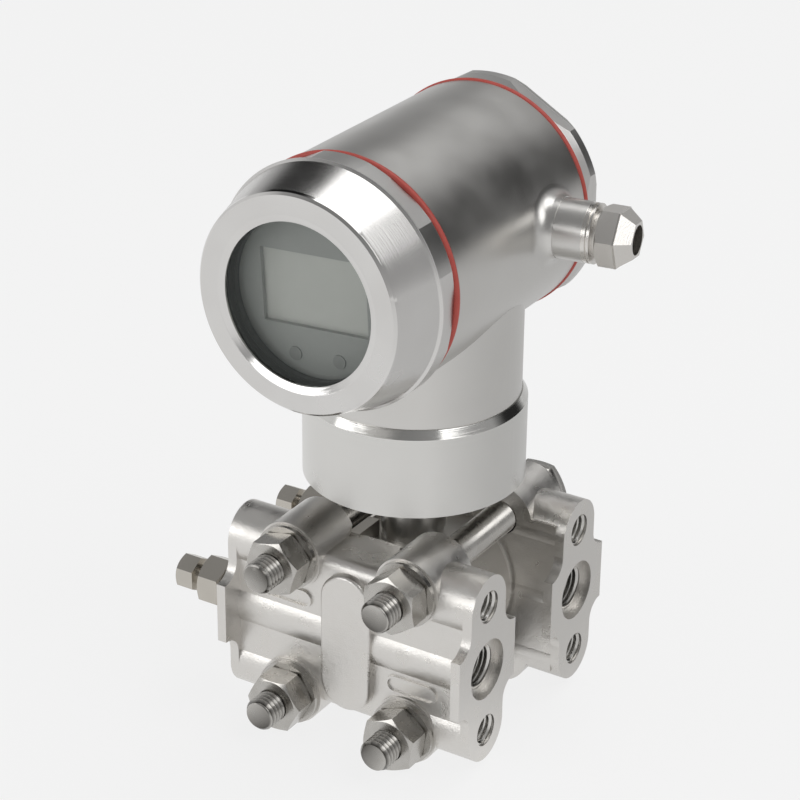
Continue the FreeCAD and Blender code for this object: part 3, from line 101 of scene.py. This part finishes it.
def add(material, kind, settings=None, **links):
    """Add a node; settings go to its fields or sockets, and links join sockets by name or number.

    A link's number is written s0, s1 and so on. A Mix node takes its colours in sockets 6 and 7 and
    gives their mixture as output 2. A noise's Scale is how many of its grains make a metre.
    """
    made = material.node_tree.nodes.new(kind)
    for name, value in (settings or {}).items():
        if isinstance(name, str) and hasattr(made, name):
            setattr(made, name, value)
        else:
            made.inputs[name].default_value = value
    for name, source in links.items():
        key = int(name[1:]) if name[0] == "s" and name[1:].isdigit() else name.replace("_", " ")
        material.node_tree.links.new(source, made.inputs[key])
    return made


def finish_named(name, body):
    """A material whose surface is the shader that the given function makes from its own nodes."""
    made = bpy.data.materials.new(name)
    made.use_nodes = True
    made.node_tree.nodes.clear()
    surface = body(made)
    add(made, "ShaderNodeOutputMaterial", Surface=surface.outputs[0])
    return made


def table_top(paint):
    """Matt white paint, so faintly mottled that it is no flat colour."""
    place = add(paint, "ShaderNodeTexCoord").outputs["Object"]
    mottle = add(paint, "ShaderNodeTexNoise", {"Scale": 3.0, "Detail": 2.0}, Vector=place)
    tone = add(paint, "ShaderNodeMix", {"data_type": "RGBA", 6: linear("#F1F1F1"), 7: linear("#F3F3F3")},
               s0=mottle.outputs["Fac"])
    matt = add(paint, "ShaderNodeBsdfDiffuse", Color=tone.outputs[2])
    ray = add(paint, "ShaderNodeLightPath")
    # Only glossy rays see the ground darker on one side: a painted dark reflection in the steel
    bearing = add(paint, "ShaderNodeVectorMath", {"operation": "NORMALIZE"}, s0=place)
    side = add(paint, "ShaderNodeVectorMath", {"operation": "DOT_PRODUCT", 1: painted_reflection_side},
               s0=bearing.outputs[0])
    away = add(paint, "ShaderNodeMapRange", {"From Min": -0.3, "From Max": 0.9}, Value=side.outputs["Value"])
    reflection_darkening = add(paint, "ShaderNodeMath", {"operation": "MULTIPLY"}, s0=away.outputs[0],
                 s1=ray.outputs["Is Glossy Ray"])
    ground = add(paint, "ShaderNodeMix", {"data_type": "RGBA", 6: linear("#F8F8F8"), 7: linear("#CFCFCF")},
                 s0=reflection_darkening.outputs[0])
    plain = add(paint, "ShaderNodeEmission", {"Strength": 1.0}, Color=ground.outputs[2])
    mirrored = add(paint, "ShaderNodeMath", {"operation": "MAXIMUM"}, s0=ray.outputs["Is Glossy Ray"],
                   s1=ray.outputs["Is Transmission Ray"])
    seen = add(paint, "ShaderNodeMath", {"operation": "MAXIMUM"}, s0=ray.outputs["Is Camera Ray"],
               s1=mirrored.outputs[0])
    share = add(paint, "ShaderNodeMath", {"operation": "MULTIPLY", 1: plain_share}, s0=seen.outputs[0])
    return add(paint, "ShaderNodeMixShader", s0=share.outputs[0], s1=matt.outputs[0], s2=plain.outputs[0])


floor_shape = bmesh.new()
bmesh.ops.create_grid(floor_shape, x_segments=1, y_segments=1, size=table_reach)
bmesh.ops.translate(floor_shape, verts=floor_shape.verts, vec=(0, 0, cad_low.z))
floor_mesh = bpy.data.meshes.new("floor")
floor_shape.to_mesh(floor_mesh)
floor_shape.free()
floor_mesh.materials.append(finish_named("matt white table top", table_top))
floor = bpy.data.objects.new("floor", floor_mesh)
bpy.context.scene.collection.objects.link(floor)

# The studio.
# Mid-grey walls, which the camera doesn't see. A white screen stands at the left, dark flags behind at the
# right and higher behind at the left, and a grey one high in front, for the steel's bright and dark stripes.
# The lamps are boxes overhead, at the right, and low in front at the left, where it lights the display.
seen_air = "#F2F2F2"
ground_tone = "#F2F2F2"
ceiling_tone = "#A0A0A0"
wall_tones = ((0.03, "#C8C8C8"), (0.20, "#B0B0B0"), (0.5, "#A6A6A6"))
# A screen's or flag's colour, azimuth, elevation, and how far its middle and its soft edge reach, in degrees
screens = (("#E6E6E6", -95, 6, 22, 42), ("#2C2C2C", 34, 16, 13, 27), ("#1C1C1C", -49, 36, 14, 24),
           ("#8C8C8C", 180, 44, 20, 50))
aim = Vector((sensor_x, 0, 0.08))


def compass(azimuth, elevation):
    """The direction of an azimuth, from the back towards the right, and an elevation, in degrees."""
    turn, rise = math.radians(azimuth), math.radians(elevation)
    return Vector((math.sin(turn) * math.cos(rise), math.cos(turn) * math.cos(rise), math.sin(rise)))


def soft_box(name, azimuth, elevation, distance, width, tall, brightness):
    """A rectangular lamp that looks at the middle of the object, of a brightness where 1 is white."""
    lamp = bpy.data.lights.new(name, "AREA")
    lamp.shape = "RECTANGLE"
    lamp.size = width
    lamp.size_y = tall
    lamp.energy = brightness * math.pi * width * tall
    holder = bpy.data.objects.new(name, lamp)
    bpy.context.scene.collection.objects.link(holder)
    towards = compass(azimuth, elevation)
    turned_to_aim = towards.to_track_quat("Z", "Y").to_matrix().to_4x4()
    holder.matrix_world = Matrix.Translation(aim + towards * distance) @ turned_to_aim


studio = bpy.data.worlds.new("studio")
bpy.context.scene.world = studio
studio.use_nodes = True
studio.node_tree.nodes.clear()
heading = add(studio, "ShaderNodeTexCoord").outputs["Generated"]
height = add(studio, "ShaderNodeSeparateXYZ", Vector=heading)
walls = add(studio, "ShaderNodeValToRGB", Fac=height.outputs["Z"])
walls.color_ramp.elements[0].color = linear(ground_tone)
walls.color_ramp.elements[1].color = linear(ceiling_tone)
for position, colour in wall_tones:
    walls.color_ramp.elements.new(position).color = linear(colour)
backdrop = walls.outputs["Color"]
for colour, azimuth, elevation, inner, outer in screens:
    near = add(studio, "ShaderNodeVectorMath", {"operation": "DOT_PRODUCT", 1: compass(azimuth, elevation)},
               s0=heading)
    patch = add(studio, "ShaderNodeMapRange", {"From Min": math.cos(math.radians(outer)),
                "From Max": math.cos(math.radians(inner))}, Value=near.outputs["Value"])
    backdrop = add(studio, "ShaderNodeMix", {"data_type": "RGBA", 7: linear(colour)},
                   s0=patch.outputs[0], s6=backdrop).outputs[2]
air = add(studio, "ShaderNodeBackground", {"Strength": 1.0}, Color=backdrop)
plain_air = add(studio, "ShaderNodeBackground", {"Color": linear(seen_air), "Strength": 1.0})
eye = add(studio, "ShaderNodeLightPath")
sky = add(studio, "ShaderNodeMixShader", s0=eye.outputs["Is Camera Ray"], s1=air.outputs[0],
          s2=plain_air.outputs[0])
add(studio, "ShaderNodeOutputWorld", Surface=sky.outputs[0])
soft_box("overhead box", azimuth=10, elevation=68, distance=1.8, width=1.4, tall=1.0, brightness=2.1)
soft_box("right box", azimuth=94, elevation=47, distance=1.8, width=1.4, tall=0.9, brightness=1.8)
soft_box("front box", azimuth=-150, elevation=17, distance=1.8, width=1.5, tall=0.7, brightness=2.2)

# The two process flanges.
# Investment castings in 316 stainless steel, blasted with fine grit. Their end faces are then milled
# smooth, which takes off the skin, and the holes in them are drilled and tapped.
flange_half = 0.0419
milled_off = 0.00005
# A noise seldom leaves these values, so what is read from it starts and ends there
noise_span = {"From Min": 0.3, "From Max": 0.7}


def dress(material, *names):
    """Give CAD nodes their finish."""
    for name in names:
        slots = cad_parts[name].data.materials
        slots.clear()
        slots.append(material)


def blasted_casting(steel):
    """Grit leaves a pale, even, slightly sparkling skin on a casting that still swells a little."""
    place = add(steel, "ShaderNodeTexCoord").outputs["Object"]
    # Grit marks are about 0.1 mm wide; they are drawn at 0.5 mm to show
    grit = add(steel, "ShaderNodeTexNoise", {"Scale": 2200.0, "Detail": 3.0, "Roughness": 0.6}, Vector=place)
    waves = add(steel, "ShaderNodeTexNoise", {"Scale": 130.0, "Detail": 2.0}, Vector=place)
    parts = add(steel, "ShaderNodeSeparateXYZ", Vector=place)
    from_middle = add(steel, "ShaderNodeMath", {"operation": "ADD", 1: flange_half}, s0=parts.outputs["X"])
    reach = add(steel, "ShaderNodeMath", {"operation": "ABSOLUTE"}, s0=from_middle.outputs[0])
    milled = add(steel, "ShaderNodeMath", {"operation": "GREATER_THAN", 1: flange_half - milled_off},
                 s0=reach.outputs[0])
    skin = add(steel, "ShaderNodeMath", {"operation": "MULTIPLY_ADD", 1: -0.8, 2: 1.0}, s0=milled.outputs[0])
    fine = add(steel, "ShaderNodeMath", {"operation": "MULTIPLY"}, s0=grit.outputs["Fac"],
               s1=skin.outputs[0])
    rough = add(steel, "ShaderNodeMapRange", {**noise_span, "To Min": 0.25, "To Max": 0.40},
                Value=waves.outputs["Fac"])
    tone = add(steel, "ShaderNodeMix", {"data_type": "RGBA", 6: linear("#D2CFCA"), 7: linear("#DFDDDA")},
               s0=waves.outputs["Fac"])
    swell = add(steel, "ShaderNodeBump", {"Strength": 0.35, "Distance": 0.0006}, Height=waves.outputs["Fac"])
    skin_bump = add(steel, "ShaderNodeBump", {"Strength": 0.5, "Distance": 0.0002},
                    Height=fine.outputs[0], Normal=swell.outputs[0])
    return add(steel, "ShaderNodeBsdfPrincipled", {"Metallic": 1.0}, Base_Color=tone.outputs[2],
               Roughness=rough.outputs[0], Normal=skin_bump.outputs[0])


dress(finish_named("grit-blasted cast stainless steel", blasted_casting), "front_flange", "rear_flange")

# The threads in the flanges' process end.
# Each is an M10 bolt hole or a pipe thread cut by a tap, bright and a little oily. The CAD bores have
# the threads' outer radius, so each thread is a sleeve that stands in from the bore's wall.
flange_y = 0.027
bolt_hole_z = 0.02065
bolt_hole = {"mouth": -0.0006, "bore": 0.00495, "crest": 0.00426, "pitch": 0.0015}
port_hole = {"mouth": -0.0029, "bore": 0.0069, "crest": 0.0061, "pitch": 0.00141}
sleeve_deep = 0.0138
sleeve_skin = 0.00002
tap_overrun = 0.001
weld = 0.000001
crease = math.radians(40)


def helix(shape, outer, inner, pitch, turns):
    """A thread's outer skin round Z, from zero up; its crests are at the outer radius."""
    steps = 40
    outline = []
    for turn in range(turns):
        # Where the root, the flank and the crest start and end, as shares of the pitch
        for share, radius in ((0.0, inner), (0.14, inner), (0.45, outer), (0.58, outer)):
            outline.append(shape.verts.new((radius, 0, (turn + share) * pitch)))
    outline.append(shape.verts.new((inner, 0, turns * pitch)))
    edges = [shape.edges.new(pair) for pair in zip(outline, outline[1:])]
    bmesh.ops.spin(shape, geom=outline + edges, cent=(0, 0, 0), axis=(0, 0, 1), angle=2 * math.pi,
                   steps=steps, dvec=(0, 0, pitch / steps))
    bmesh.ops.remove_doubles(shape, verts=shape.verts, dist=2 * weld)


def cut_square(shape, height, upper):
    """Cut a shape square at a height, drop what lies beyond, and close the cut."""
    cut = bmesh.ops.bisect_plane(shape, geom=shape.verts[:] + shape.edges[:] + shape.faces[:],
                                 plane_co=(0, 0, height), plane_no=(0, 0, 1 if upper else -1),
                                 clear_outer=True, dist=weld)
    rim = [item for item in cut["geom_cut"] if isinstance(item, bmesh.types.BMEdge)]
    bmesh.ops.contextual_create(shape, geom=rim)


def threaded_rod(outer, inner, pitch, length, chamfer=False):
    """A closed rod with a thread, from zero up to its length, where it may have a chamfer.

    The attribute "root" is 1 at the bottom of the thread and 0 on its crest and the ends.
    """
    shape = bmesh.new()
    # The thread has a turn more at each end, which the cuts take off
    helix(shape, outer, inner, pitch, math.ceil(length / pitch) + 2)
    bmesh.ops.translate(shape, verts=shape.verts, vec=(0, 0, -pitch))
    cut_square(shape, 0, False)
    cut_square(shape, length, True)
    root = shape.verts.layers.float.new("root")
    for vertex in shape.verts:
        radius = math.hypot(vertex.co.x, vertex.co.y)
        vertex[root] = min(1, max(0, (outer - radius) / (outer - inner))) if radius > inner / 2 else 0
        # The chamfer goes down at 45 degrees from the thread's root at the end
        most = inner + length - vertex.co.z
        if chamfer and radius > most:
            vertex.co.x, vertex.co.y = vertex.co.x * most / radius, vertex.co.y * most / radius
    bmesh.ops.recalc_face_normals(shape, faces=shape.faces)
    return shape


def as_piece(name, shape, material):
    """Make a finished shape a piece with a material; edges blunter than a crease are shaded smooth."""
    mesh = bpy.data.meshes.new(name)
    shape.to_mesh(mesh)
    shape.free()
    mesh.materials.append(material)
    mesh.shade_smooth()
    mesh.set_sharp_from_angle(angle=crease)
    piece = bpy.data.objects.new(name, mesh)
    bpy.context.scene.collection.objects.link(piece)
    return piece


def tapped_sleeve(name, y, z, mouth, bore, crest, pitch):
    """The thread of one hole whose mouth is at an x and which runs back from it.

    A tap is taken out of a plain round plug. It leaves a thin skin at the roots, which holds the sleeve
    together, and runs over at both ends.
    """
    tap = threaded_rod(bore - sleeve_skin, crest, pitch, sleeve_deep + 2 * tap_overrun)
    bmesh.ops.translate(tap, verts=tap.verts, vec=(0, 0, -tap_overrun))
    tap_mesh = bpy.data.meshes.new(name + "_tap")
    tap.to_mesh(tap_mesh)
    tap.free()
    cutter = bpy.data.objects.new(name + "_tap", tap_mesh)
    bpy.context.scene.collection.objects.link(cutter)
    wall = bmesh.new()
    bmesh.ops.create_cone(wall, cap_ends=True, segments=64, radius1=bore, radius2=bore, depth=sleeve_deep)
    bmesh.ops.translate(wall, verts=wall.verts, vec=(0, 0, sleeve_deep / 2))
    piece = as_piece(name, wall, tapped_steel)
    cut = piece.modifiers.new("cut", "BOOLEAN")
    cut.operation = "DIFFERENCE"
    cut.solver = "EXACT"
    cut.object = cutter
    made = bpy.data.meshes.new_from_object(piece.evaluated_get(bpy.context.evaluated_depsgraph_get()))
    piece.modifiers.clear()
    piece.data = made
    made.materials.clear()
    made.materials.append(tapped_steel)
    bpy.data.objects.remove(cutter)
    made.transform(Matrix.Translation((mouth, y, z)) @ Matrix.Rotation(math.radians(-90), 4, "Y"))
    made.set_sharp_from_angle(angle=crease)
    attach(piece, "base")


def grained(colour, deeper, grain, strength, depth, surface, detail=2.0):
    """How a fine even finish looks: two close colours and shallow marks, both from one noise."""
    def look(finish):
        place = add(finish, "ShaderNodeTexCoord").outputs["Object"]
        marks = add(finish, "ShaderNodeTexNoise", {"Scale": grain, "Detail": detail}, Vector=place)
        tone = add(finish, "ShaderNodeMix", {"data_type": "RGBA", 6: linear(deeper), 7: linear(colour)},
                   s0=marks.outputs["Fac"])
        skin = add(finish, "ShaderNodeBump", {"Strength": strength, "Distance": depth},
                   Height=marks.outputs["Fac"])
        return add(finish, "ShaderNodeBsdfPrincipled", surface, Base_Color=tone.outputs[2],
                   Normal=skin.outputs[0])
    return look


# A tap leaves bright flanks with faint chatter marks of about a millimetre
bright_thread = grained("#DCDAD6", "#C2C0BC", 900.0, 0.2, 0.0001, {"Metallic": 1.0, "Roughness": 0.2})
tapped_steel = finish_named("freshly tapped stainless steel", bright_thread)
for flange, y in (("front", -flange_y), ("rear", flange_y)):
    for row, z in (("upper", bolt_hole_z), ("lower", -bolt_hole_z)):
        tapped_sleeve(f"{flange}_{row}_bolt_thread", y, z, **bolt_hole)
    tapped_sleeve(f"{flange}_port_thread", y, 0.0, **port_hole)

# The clamp bolts, nuts and washers.
# Four M10 bolts in stainless steel, with rolled threads at the end that shows, and flat nuts on plain
# washers. They are bright-drawn and tumbled, greyer and a little warmer than the castings.
bolt_tip = -0.0536
bolt_x = 0.0201
bolt_z = 0.0231
bolt_thread = {"outer": 0.00496, "inner": 0.0041, "pitch": 0.0015, "length": 0.026}


def tumbled_fastener(steel):
    """Drawn bar shows fine lines along the bolts, and tumbling leaves soft, uneven patches."""
    place = add(steel, "ShaderNodeTexCoord").outputs["Object"]
    drawn = add(steel, "ShaderNodeMapping", {"Scale": (900.0, 60.0, 900.0)}, Vector=place)
    lines = add(steel, "ShaderNodeTexNoise", {"Scale": 1.0, "Detail": 3.0}, Vector=drawn.outputs[0])
    patches = add(steel, "ShaderNodeTexNoise", {"Scale": 240.0, "Detail": 3.0}, Vector=place)
    tone = add(steel, "ShaderNodeMix", {"data_type": "RGBA", 6: linear("#ABA8A3"), 7: linear("#C5C3BF")},
               s0=patches.outputs["Fac"])
    # The roots of the rolled threads are painted darker: painted shade in the grooves
    root = add(steel, "ShaderNodeAttribute", {"attribute_name": "root"})
    painted_root_shade = add(steel, "ShaderNodeMath", {"operation": "MULTIPLY", 1: 0.85}, s0=root.outputs["Fac"])
    dark = add(steel, "ShaderNodeMix", {"data_type": "RGBA", 7: linear("#3B3834")}, s0=painted_root_shade.outputs[0],
               s6=tone.outputs[2])
    rough = add(steel, "ShaderNodeMapRange", {**noise_span, "To Min": 0.20, "To Max": 0.32},
                Value=patches.outputs["Fac"])
    scratch = add(steel, "ShaderNodeBump", {"Strength": 0.2, "Distance": 0.00008},
                  Height=lines.outputs["Fac"])
    return add(steel, "ShaderNodeBsdfPrincipled", {"Metallic": 1.0}, Base_Color=dark.outputs[2],
               Roughness=rough.outputs[0], Normal=scratch.outputs[0])


fastener_steel = finish_named("tumbled bright-drawn stainless steel", tumbled_fastener)
dress(fastener_steel, "clamp_nuts", "clamp_washers", "clamp_bolts")
thread_start = bolt_tip + bolt_thread["length"]
bolts = bmesh.new()
bolts.from_mesh(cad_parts["clamp_bolts"].data)
bmesh.ops.remove_doubles(bolts, verts=bolts.verts, dist=weld)
cut = bmesh.ops.bisect_plane(bolts, geom=bolts.verts[:] + bolts.edges[:] + bolts.faces[:],
                             plane_co=(0, thread_start, 0), plane_no=(0, -1, 0), clear_outer=True)
bmesh.ops.holes_fill(bolts, edges=[item for item in cut["geom_cut"] if isinstance(item, bmesh.types.BMEdge)])
for x in (-bolt_x, bolt_x):
    for z in (-bolt_z, bolt_z):
        thread = threaded_rod(**bolt_thread, chamfer=True)
        # Each bolt was done up to a different turn
        turn = x * 90 + z * 40
        thread.transform(Matrix.Translation((sensor_x + x, thread_start, z))
                         @ Matrix.Rotation(math.radians(90), 4, "X") @ Matrix.Rotation(turn, 4, "Z"))
        spare = bpy.data.meshes.new("thread")
        thread.to_mesh(spare)
        thread.free()
        bolts.from_mesh(spare)
        bpy.data.meshes.remove(spare)
clamp_bolts = as_piece("threaded_clamp_bolts", bolts, fastener_steel)
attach(clamp_bolts, "base")
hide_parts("clamp_bolts")

# The turned pieces between and on the flanges.
# Sensor capsule, neck, collar and vent valves are turned from bar, which leaves fine rings round
# their own axis, and the collar's upper edge is polished.
sensor_axis = (sensor_x, 0, 0)
# Where a polished band starts and ends along the axis, and the share of the roughness that it keeps
collar_edge = (0.0668, 0.0696, 0.4)


def turned_look(centre, across, along, tones, roughness, ring=0.0003, polished=()):
    """How a turned piece looks: rings that follow its profile, as the tool left them.

    Across and along are the shares of each axis in the distance from the piece's own axis and along it.
    A lathe's feed leaves rings about 0.1 mm wide, which are drawn at 0.3 mm to show.
    """
    deeper, colour = tones
    smoothest, roughest = roughness

    def look(steel):
        place = add(steel, "ShaderNodeTexCoord").outputs["Object"]
        moved = add(steel, "ShaderNodeVectorMath", {"operation": "SUBTRACT", 1: centre}, s0=place)
        flat = add(steel, "ShaderNodeVectorMath", {"operation": "MULTIPLY", 1: across}, s0=moved.outputs[0])
        radius = add(steel, "ShaderNodeVectorMath", {"operation": "LENGTH"}, s0=flat.outputs[0])
        run = add(steel, "ShaderNodeVectorMath", {"operation": "DOT_PRODUCT", 1: along}, s0=moved.outputs[0])
        profile = add(steel, "ShaderNodeCombineXYZ", X=radius.outputs["Value"], Y=run.outputs["Value"])
        rings = add(steel, "ShaderNodeTexNoise", {"Scale": 1 / ring, "Detail": 2.0},
                    Vector=profile.outputs[0])
        clouds = add(steel, "ShaderNodeTexNoise", {"Scale": 60.0, "Detail": 2.0}, Vector=place)
        tone = add(steel, "ShaderNodeMix", {"data_type": "RGBA", 6: linear(deeper), 7: linear(colour)},
                   s0=clouds.outputs["Fac"])
        rough = add(steel, "ShaderNodeMapRange", {**noise_span, "To Min": smoothest, "To Max": roughest},
                    Value=clouds.outputs["Fac"])
        last = rough.outputs[0]
        for low, high, share in polished:
            past = add(steel, "ShaderNodeMath", {"operation": "GREATER_THAN", 1: low},
                       s0=run.outputs["Value"])
            short = add(steel, "ShaderNodeMath", {"operation": "LESS_THAN", 1: high},
                        s0=run.outputs["Value"])
            within = add(steel, "ShaderNodeMath", {"operation": "MULTIPLY"}, s0=past.outputs[0],
                         s1=short.outputs[0])
            less = add(steel, "ShaderNodeMath", {"operation": "MULTIPLY_ADD", 1: share - 1, 2: 1.0},
                       s0=within.outputs[0])
            lowered = add(steel, "ShaderNodeMath", {"operation": "MULTIPLY"}, s0=last, s1=less.outputs[0])
            last = lowered.outputs[0]
        groove = add(steel, "ShaderNodeBump", {"Strength": 0.3, "Distance": 0.00006},
                     Height=rings.outputs["Fac"])
        return add(steel, "ShaderNodeBsdfPrincipled", {"Metallic": 1.0}, Base_Color=tone.outputs[2],
                   Roughness=last, Normal=groove.outputs[0])
    return look


upright_bar = turned_look(sensor_axis, (1, 1, 0), (0, 0, 1), ("#CFCECB", "#DAD9D6"), (0.27, 0.35),
                          polished=(collar_edge,))
dress(finish_named("turned stainless steel, upright", upright_bar), "collar", "sensor_neck")
capsule_bar = turned_look(sensor_axis, (1, 0, 1), (0, 1, 0), ("#B9B6B0", "#CBC8C3"), (0.26, 0.34))
dress(finish_named("turned stainless steel, capsule", capsule_bar), "capsule_body", "locating_key")
for flange, y in (("front", -flange_y), ("rear", flange_y)):
    valve_bar = turned_look((0, y, 0), (0, 1, 1), (-1, 0, 0), ("#B4AFA6", "#CCC8C1"), (0.20, 0.30))
    dress(finish_named(f"turned stainless steel, {flange} valve", valve_bar),
          f"{flange}_vent_body", f"{flange}_vent_ball", f"{flange}_vent_screw")

# The head.
# A welded stainless steel tube on a round neck, turned and then brushed to a satin, with covers turned
# from bar: the bevels round the display cover's front ring are polished, and the bands with the flats
# for a wrench are duller than the cone and the ring.
head_axis = (sensor_x, 0, 0.1163)
satin_tones = ("#C9C7C4", "#D6D5D2")
satin_roughness = (0.28, 0.36)
cover_tones = ("#CCCAC8", "#DAD9D7")
cover_roughness = (0.22, 0.28)
front_bevels = (0.060, 0.06165, 0.35)
front_band = (0.0374, 0.0457, 1.3)
rear_band = (0.0374, 0.0422, 1.3)
tube_look = turned_look(head_axis, (1, 0, 1), (0, -1, 0), satin_tones, satin_roughness)
dress(finish_named("satin stainless steel tube", tube_look), "housing")
neck_look = turned_look(sensor_axis, (1, 1, 0), (0, 0, 1), satin_tones, satin_roughness)
dress(finish_named("satin stainless steel neck", neck_look), "head_neck")
cover_look = turned_look(head_axis, (1, 0, 1), (0, -1, 0), cover_tones, cover_roughness,
                         polished=(front_bevels, front_band))
dress(finish_named("turned stainless steel display cover", cover_look), "front_cover")
blank_look = turned_look(head_axis, (1, 0, 1), (0, 1, 0), cover_tones, cover_roughness,
                         polished=(rear_band,))
dress(finish_named("turned stainless steel blank cover", blank_look), "rear_cover")


# The seals.
# Silicone rings in a dull red under both covers, which show as a thin line, black nitrile in the
# joints, and a grey grommet in the cable gland. All are moulded.
def rubber(colour, deeper):
    """Moulded rubber has a soft sheen and a faint bloom in patches of a few millimetres."""
    return grained(colour, deeper, 400.0, 0.2, 0.0001, {"Roughness": 0.5, "IOR": 1.45}, detail=3.0)


dress(finish_named("red silicone rubber", rubber("#C2584E", "#B44C44")), "front_seal", "rear_seal")
dress(finish_named("black nitrile rubber", rubber("#262626", "#171717")), "front_gasket", "rear_gasket",
      "collar_seal", "window_gasket")
dress(finish_named("grey chloroprene rubber", rubber("#6E6E6C", "#5C5C5A")), "gland_grommet")


# The window and the display.
# Toughened float glass, clear from the front, over a mid-grey moulded frame with an unlit reflective
# liquid crystal and two keys. The ring that holds the glass is black anodised aluminium.
def window_glass(glass):
    """Glass is clear head on and a mirror at a low angle, with a faint film that softens it."""
    place = add(glass, "ShaderNodeTexCoord").outputs["Object"]
    film = add(glass, "ShaderNodeTexNoise", {"Scale": 50.0, "Detail": 1.0}, Vector=place)
    haze = add(glass, "ShaderNodeMapRange", {"To Min": 0.02, "To Max": 0.05}, Value=film.outputs["Fac"])
    clear = add(glass, "ShaderNodeBsdfTransparent", {"Color": linear("#FBFCFB")})
    shine = add(glass, "ShaderNodeBsdfPrincipled", {"Base Color": linear("#DFE6E2"), "Metallic": 1.0},
                Roughness=haze.outputs[0])
    # Schlick's rise of the reflection towards the edge, the same for both faces of the pane
    slant = add(glass, "ShaderNodeLayerWeight", {"Blend": 0.5})
    rise = add(glass, "ShaderNodeMath", {"operation": "POWER", 1: 5.0}, s0=slant.outputs["Facing"])
    cover = add(glass, "ShaderNodeMath", {"operation": "MULTIPLY_ADD", 1: 0.96, 2: 0.04}, s0=rise.outputs[0])
    return add(glass, "ShaderNodeMixShader", s0=cover.outputs[0], s1=clear.outputs[0], s2=shine.outputs[0])


def moulded(colour, deeper, roughness, grain=1500.0):
    """A spark-eroded mould leaves an even matt grain, about 0.1 mm wide and drawn at 0.7 mm to show."""
    return grained(colour, deeper, grain, 0.15, 0.00008, {"Roughness": roughness, "IOR": 1.5})


dress(finish_named("toughened float glass", window_glass), "window_glass")
dress(finish_named("spark-eroded grey plastic", moulded("#989897", "#919190", 0.45)), "display_frame")
# A liquid crystal's front film is smooth, with slow changes of tone over a few millimetres
dress(finish_named("reflective liquid crystal", moulded("#C3C2BF", "#BDBCB9", 0.25, 300.0)), "screen")
dress(finish_named("grey key plastic", moulded("#828281", "#7B7B7A", 0.4)), "button_left", "button_right")
dress(finish_named("black moulded plastic", moulded("#242424", "#1C1C1C", 0.45)), "button_switches",
      "terminal_block")
# Anodising keeps the fine blast of the metal under it, as a dull sheen
dress(finish_named("black anodised aluminium", moulded("#2C2D2E", "#252627", 0.4)), "window_retainer")
# Solder resist is a glossy lacquer that lies in soft waves over the copper
dress(finish_named("green solder resist", moulded("#1C5A34", "#174C2C", 0.35, 500.0)), "sensor_board",
      "display_board", "main_board")


# The small metal pieces.
# Brass posts and terminal screws, plated screws that hold the boards and the head, and the rolled
# diaphragms of the capsule, all left as they were machined or pressed.
def machined(colour, deeper, roughness):
    """A cutting tool leaves bright metal with short marks of under a millimetre."""
    return grained(colour, deeper, 1200.0, 0.2, 0.00008, {"Metallic": 1.0, "Roughness": roughness})


dress(finish_named("machined brass", machined("#CDB07A", "#BFA168", 0.3)), "upper_posts", "lower_posts",
      "terminal_screws")
dress(finish_named("plated screw steel", machined("#BDBBB7", "#ACA9A4", 0.28)), "board_screws",
      "head_lock_screw")
dress(finish_named("rolled diaphragm steel", machined("#D0CFCD", "#C4C3C0", 0.18)), "front_diaphragm",
      "rear_diaphragm")

# The cable gland.
# Nickel-plated brass, a little warm in colour: a turned body and a six-sided domed nut, brushed, with
# the body's flange and the nut's dome polished.
gland_lip = (-0.0049, 0.0177, 0.1202)
gland_across = (0.139, 0.990, 1)
gland_along = (0.990, 0.139, 0)
gland_flange = (-0.002, 0.0108, 0.6)
gland_dome = (0.0176, 0.0232, 0.6)
gland_bar = turned_look(gland_lip, gland_across, gland_along, ("#D2CFCA", "#E2DFDB"), (0.34, 0.42),
                        ring=0.0004, polished=(gland_flange, gland_dome))
dress(finish_named("nickel-plated brass", gland_bar), "gland_body", "gland_nut", "gland_washer")

# The view.
# Colours show as they are written.
bpy.context.scene.view_settings.view_transform = "Standard"
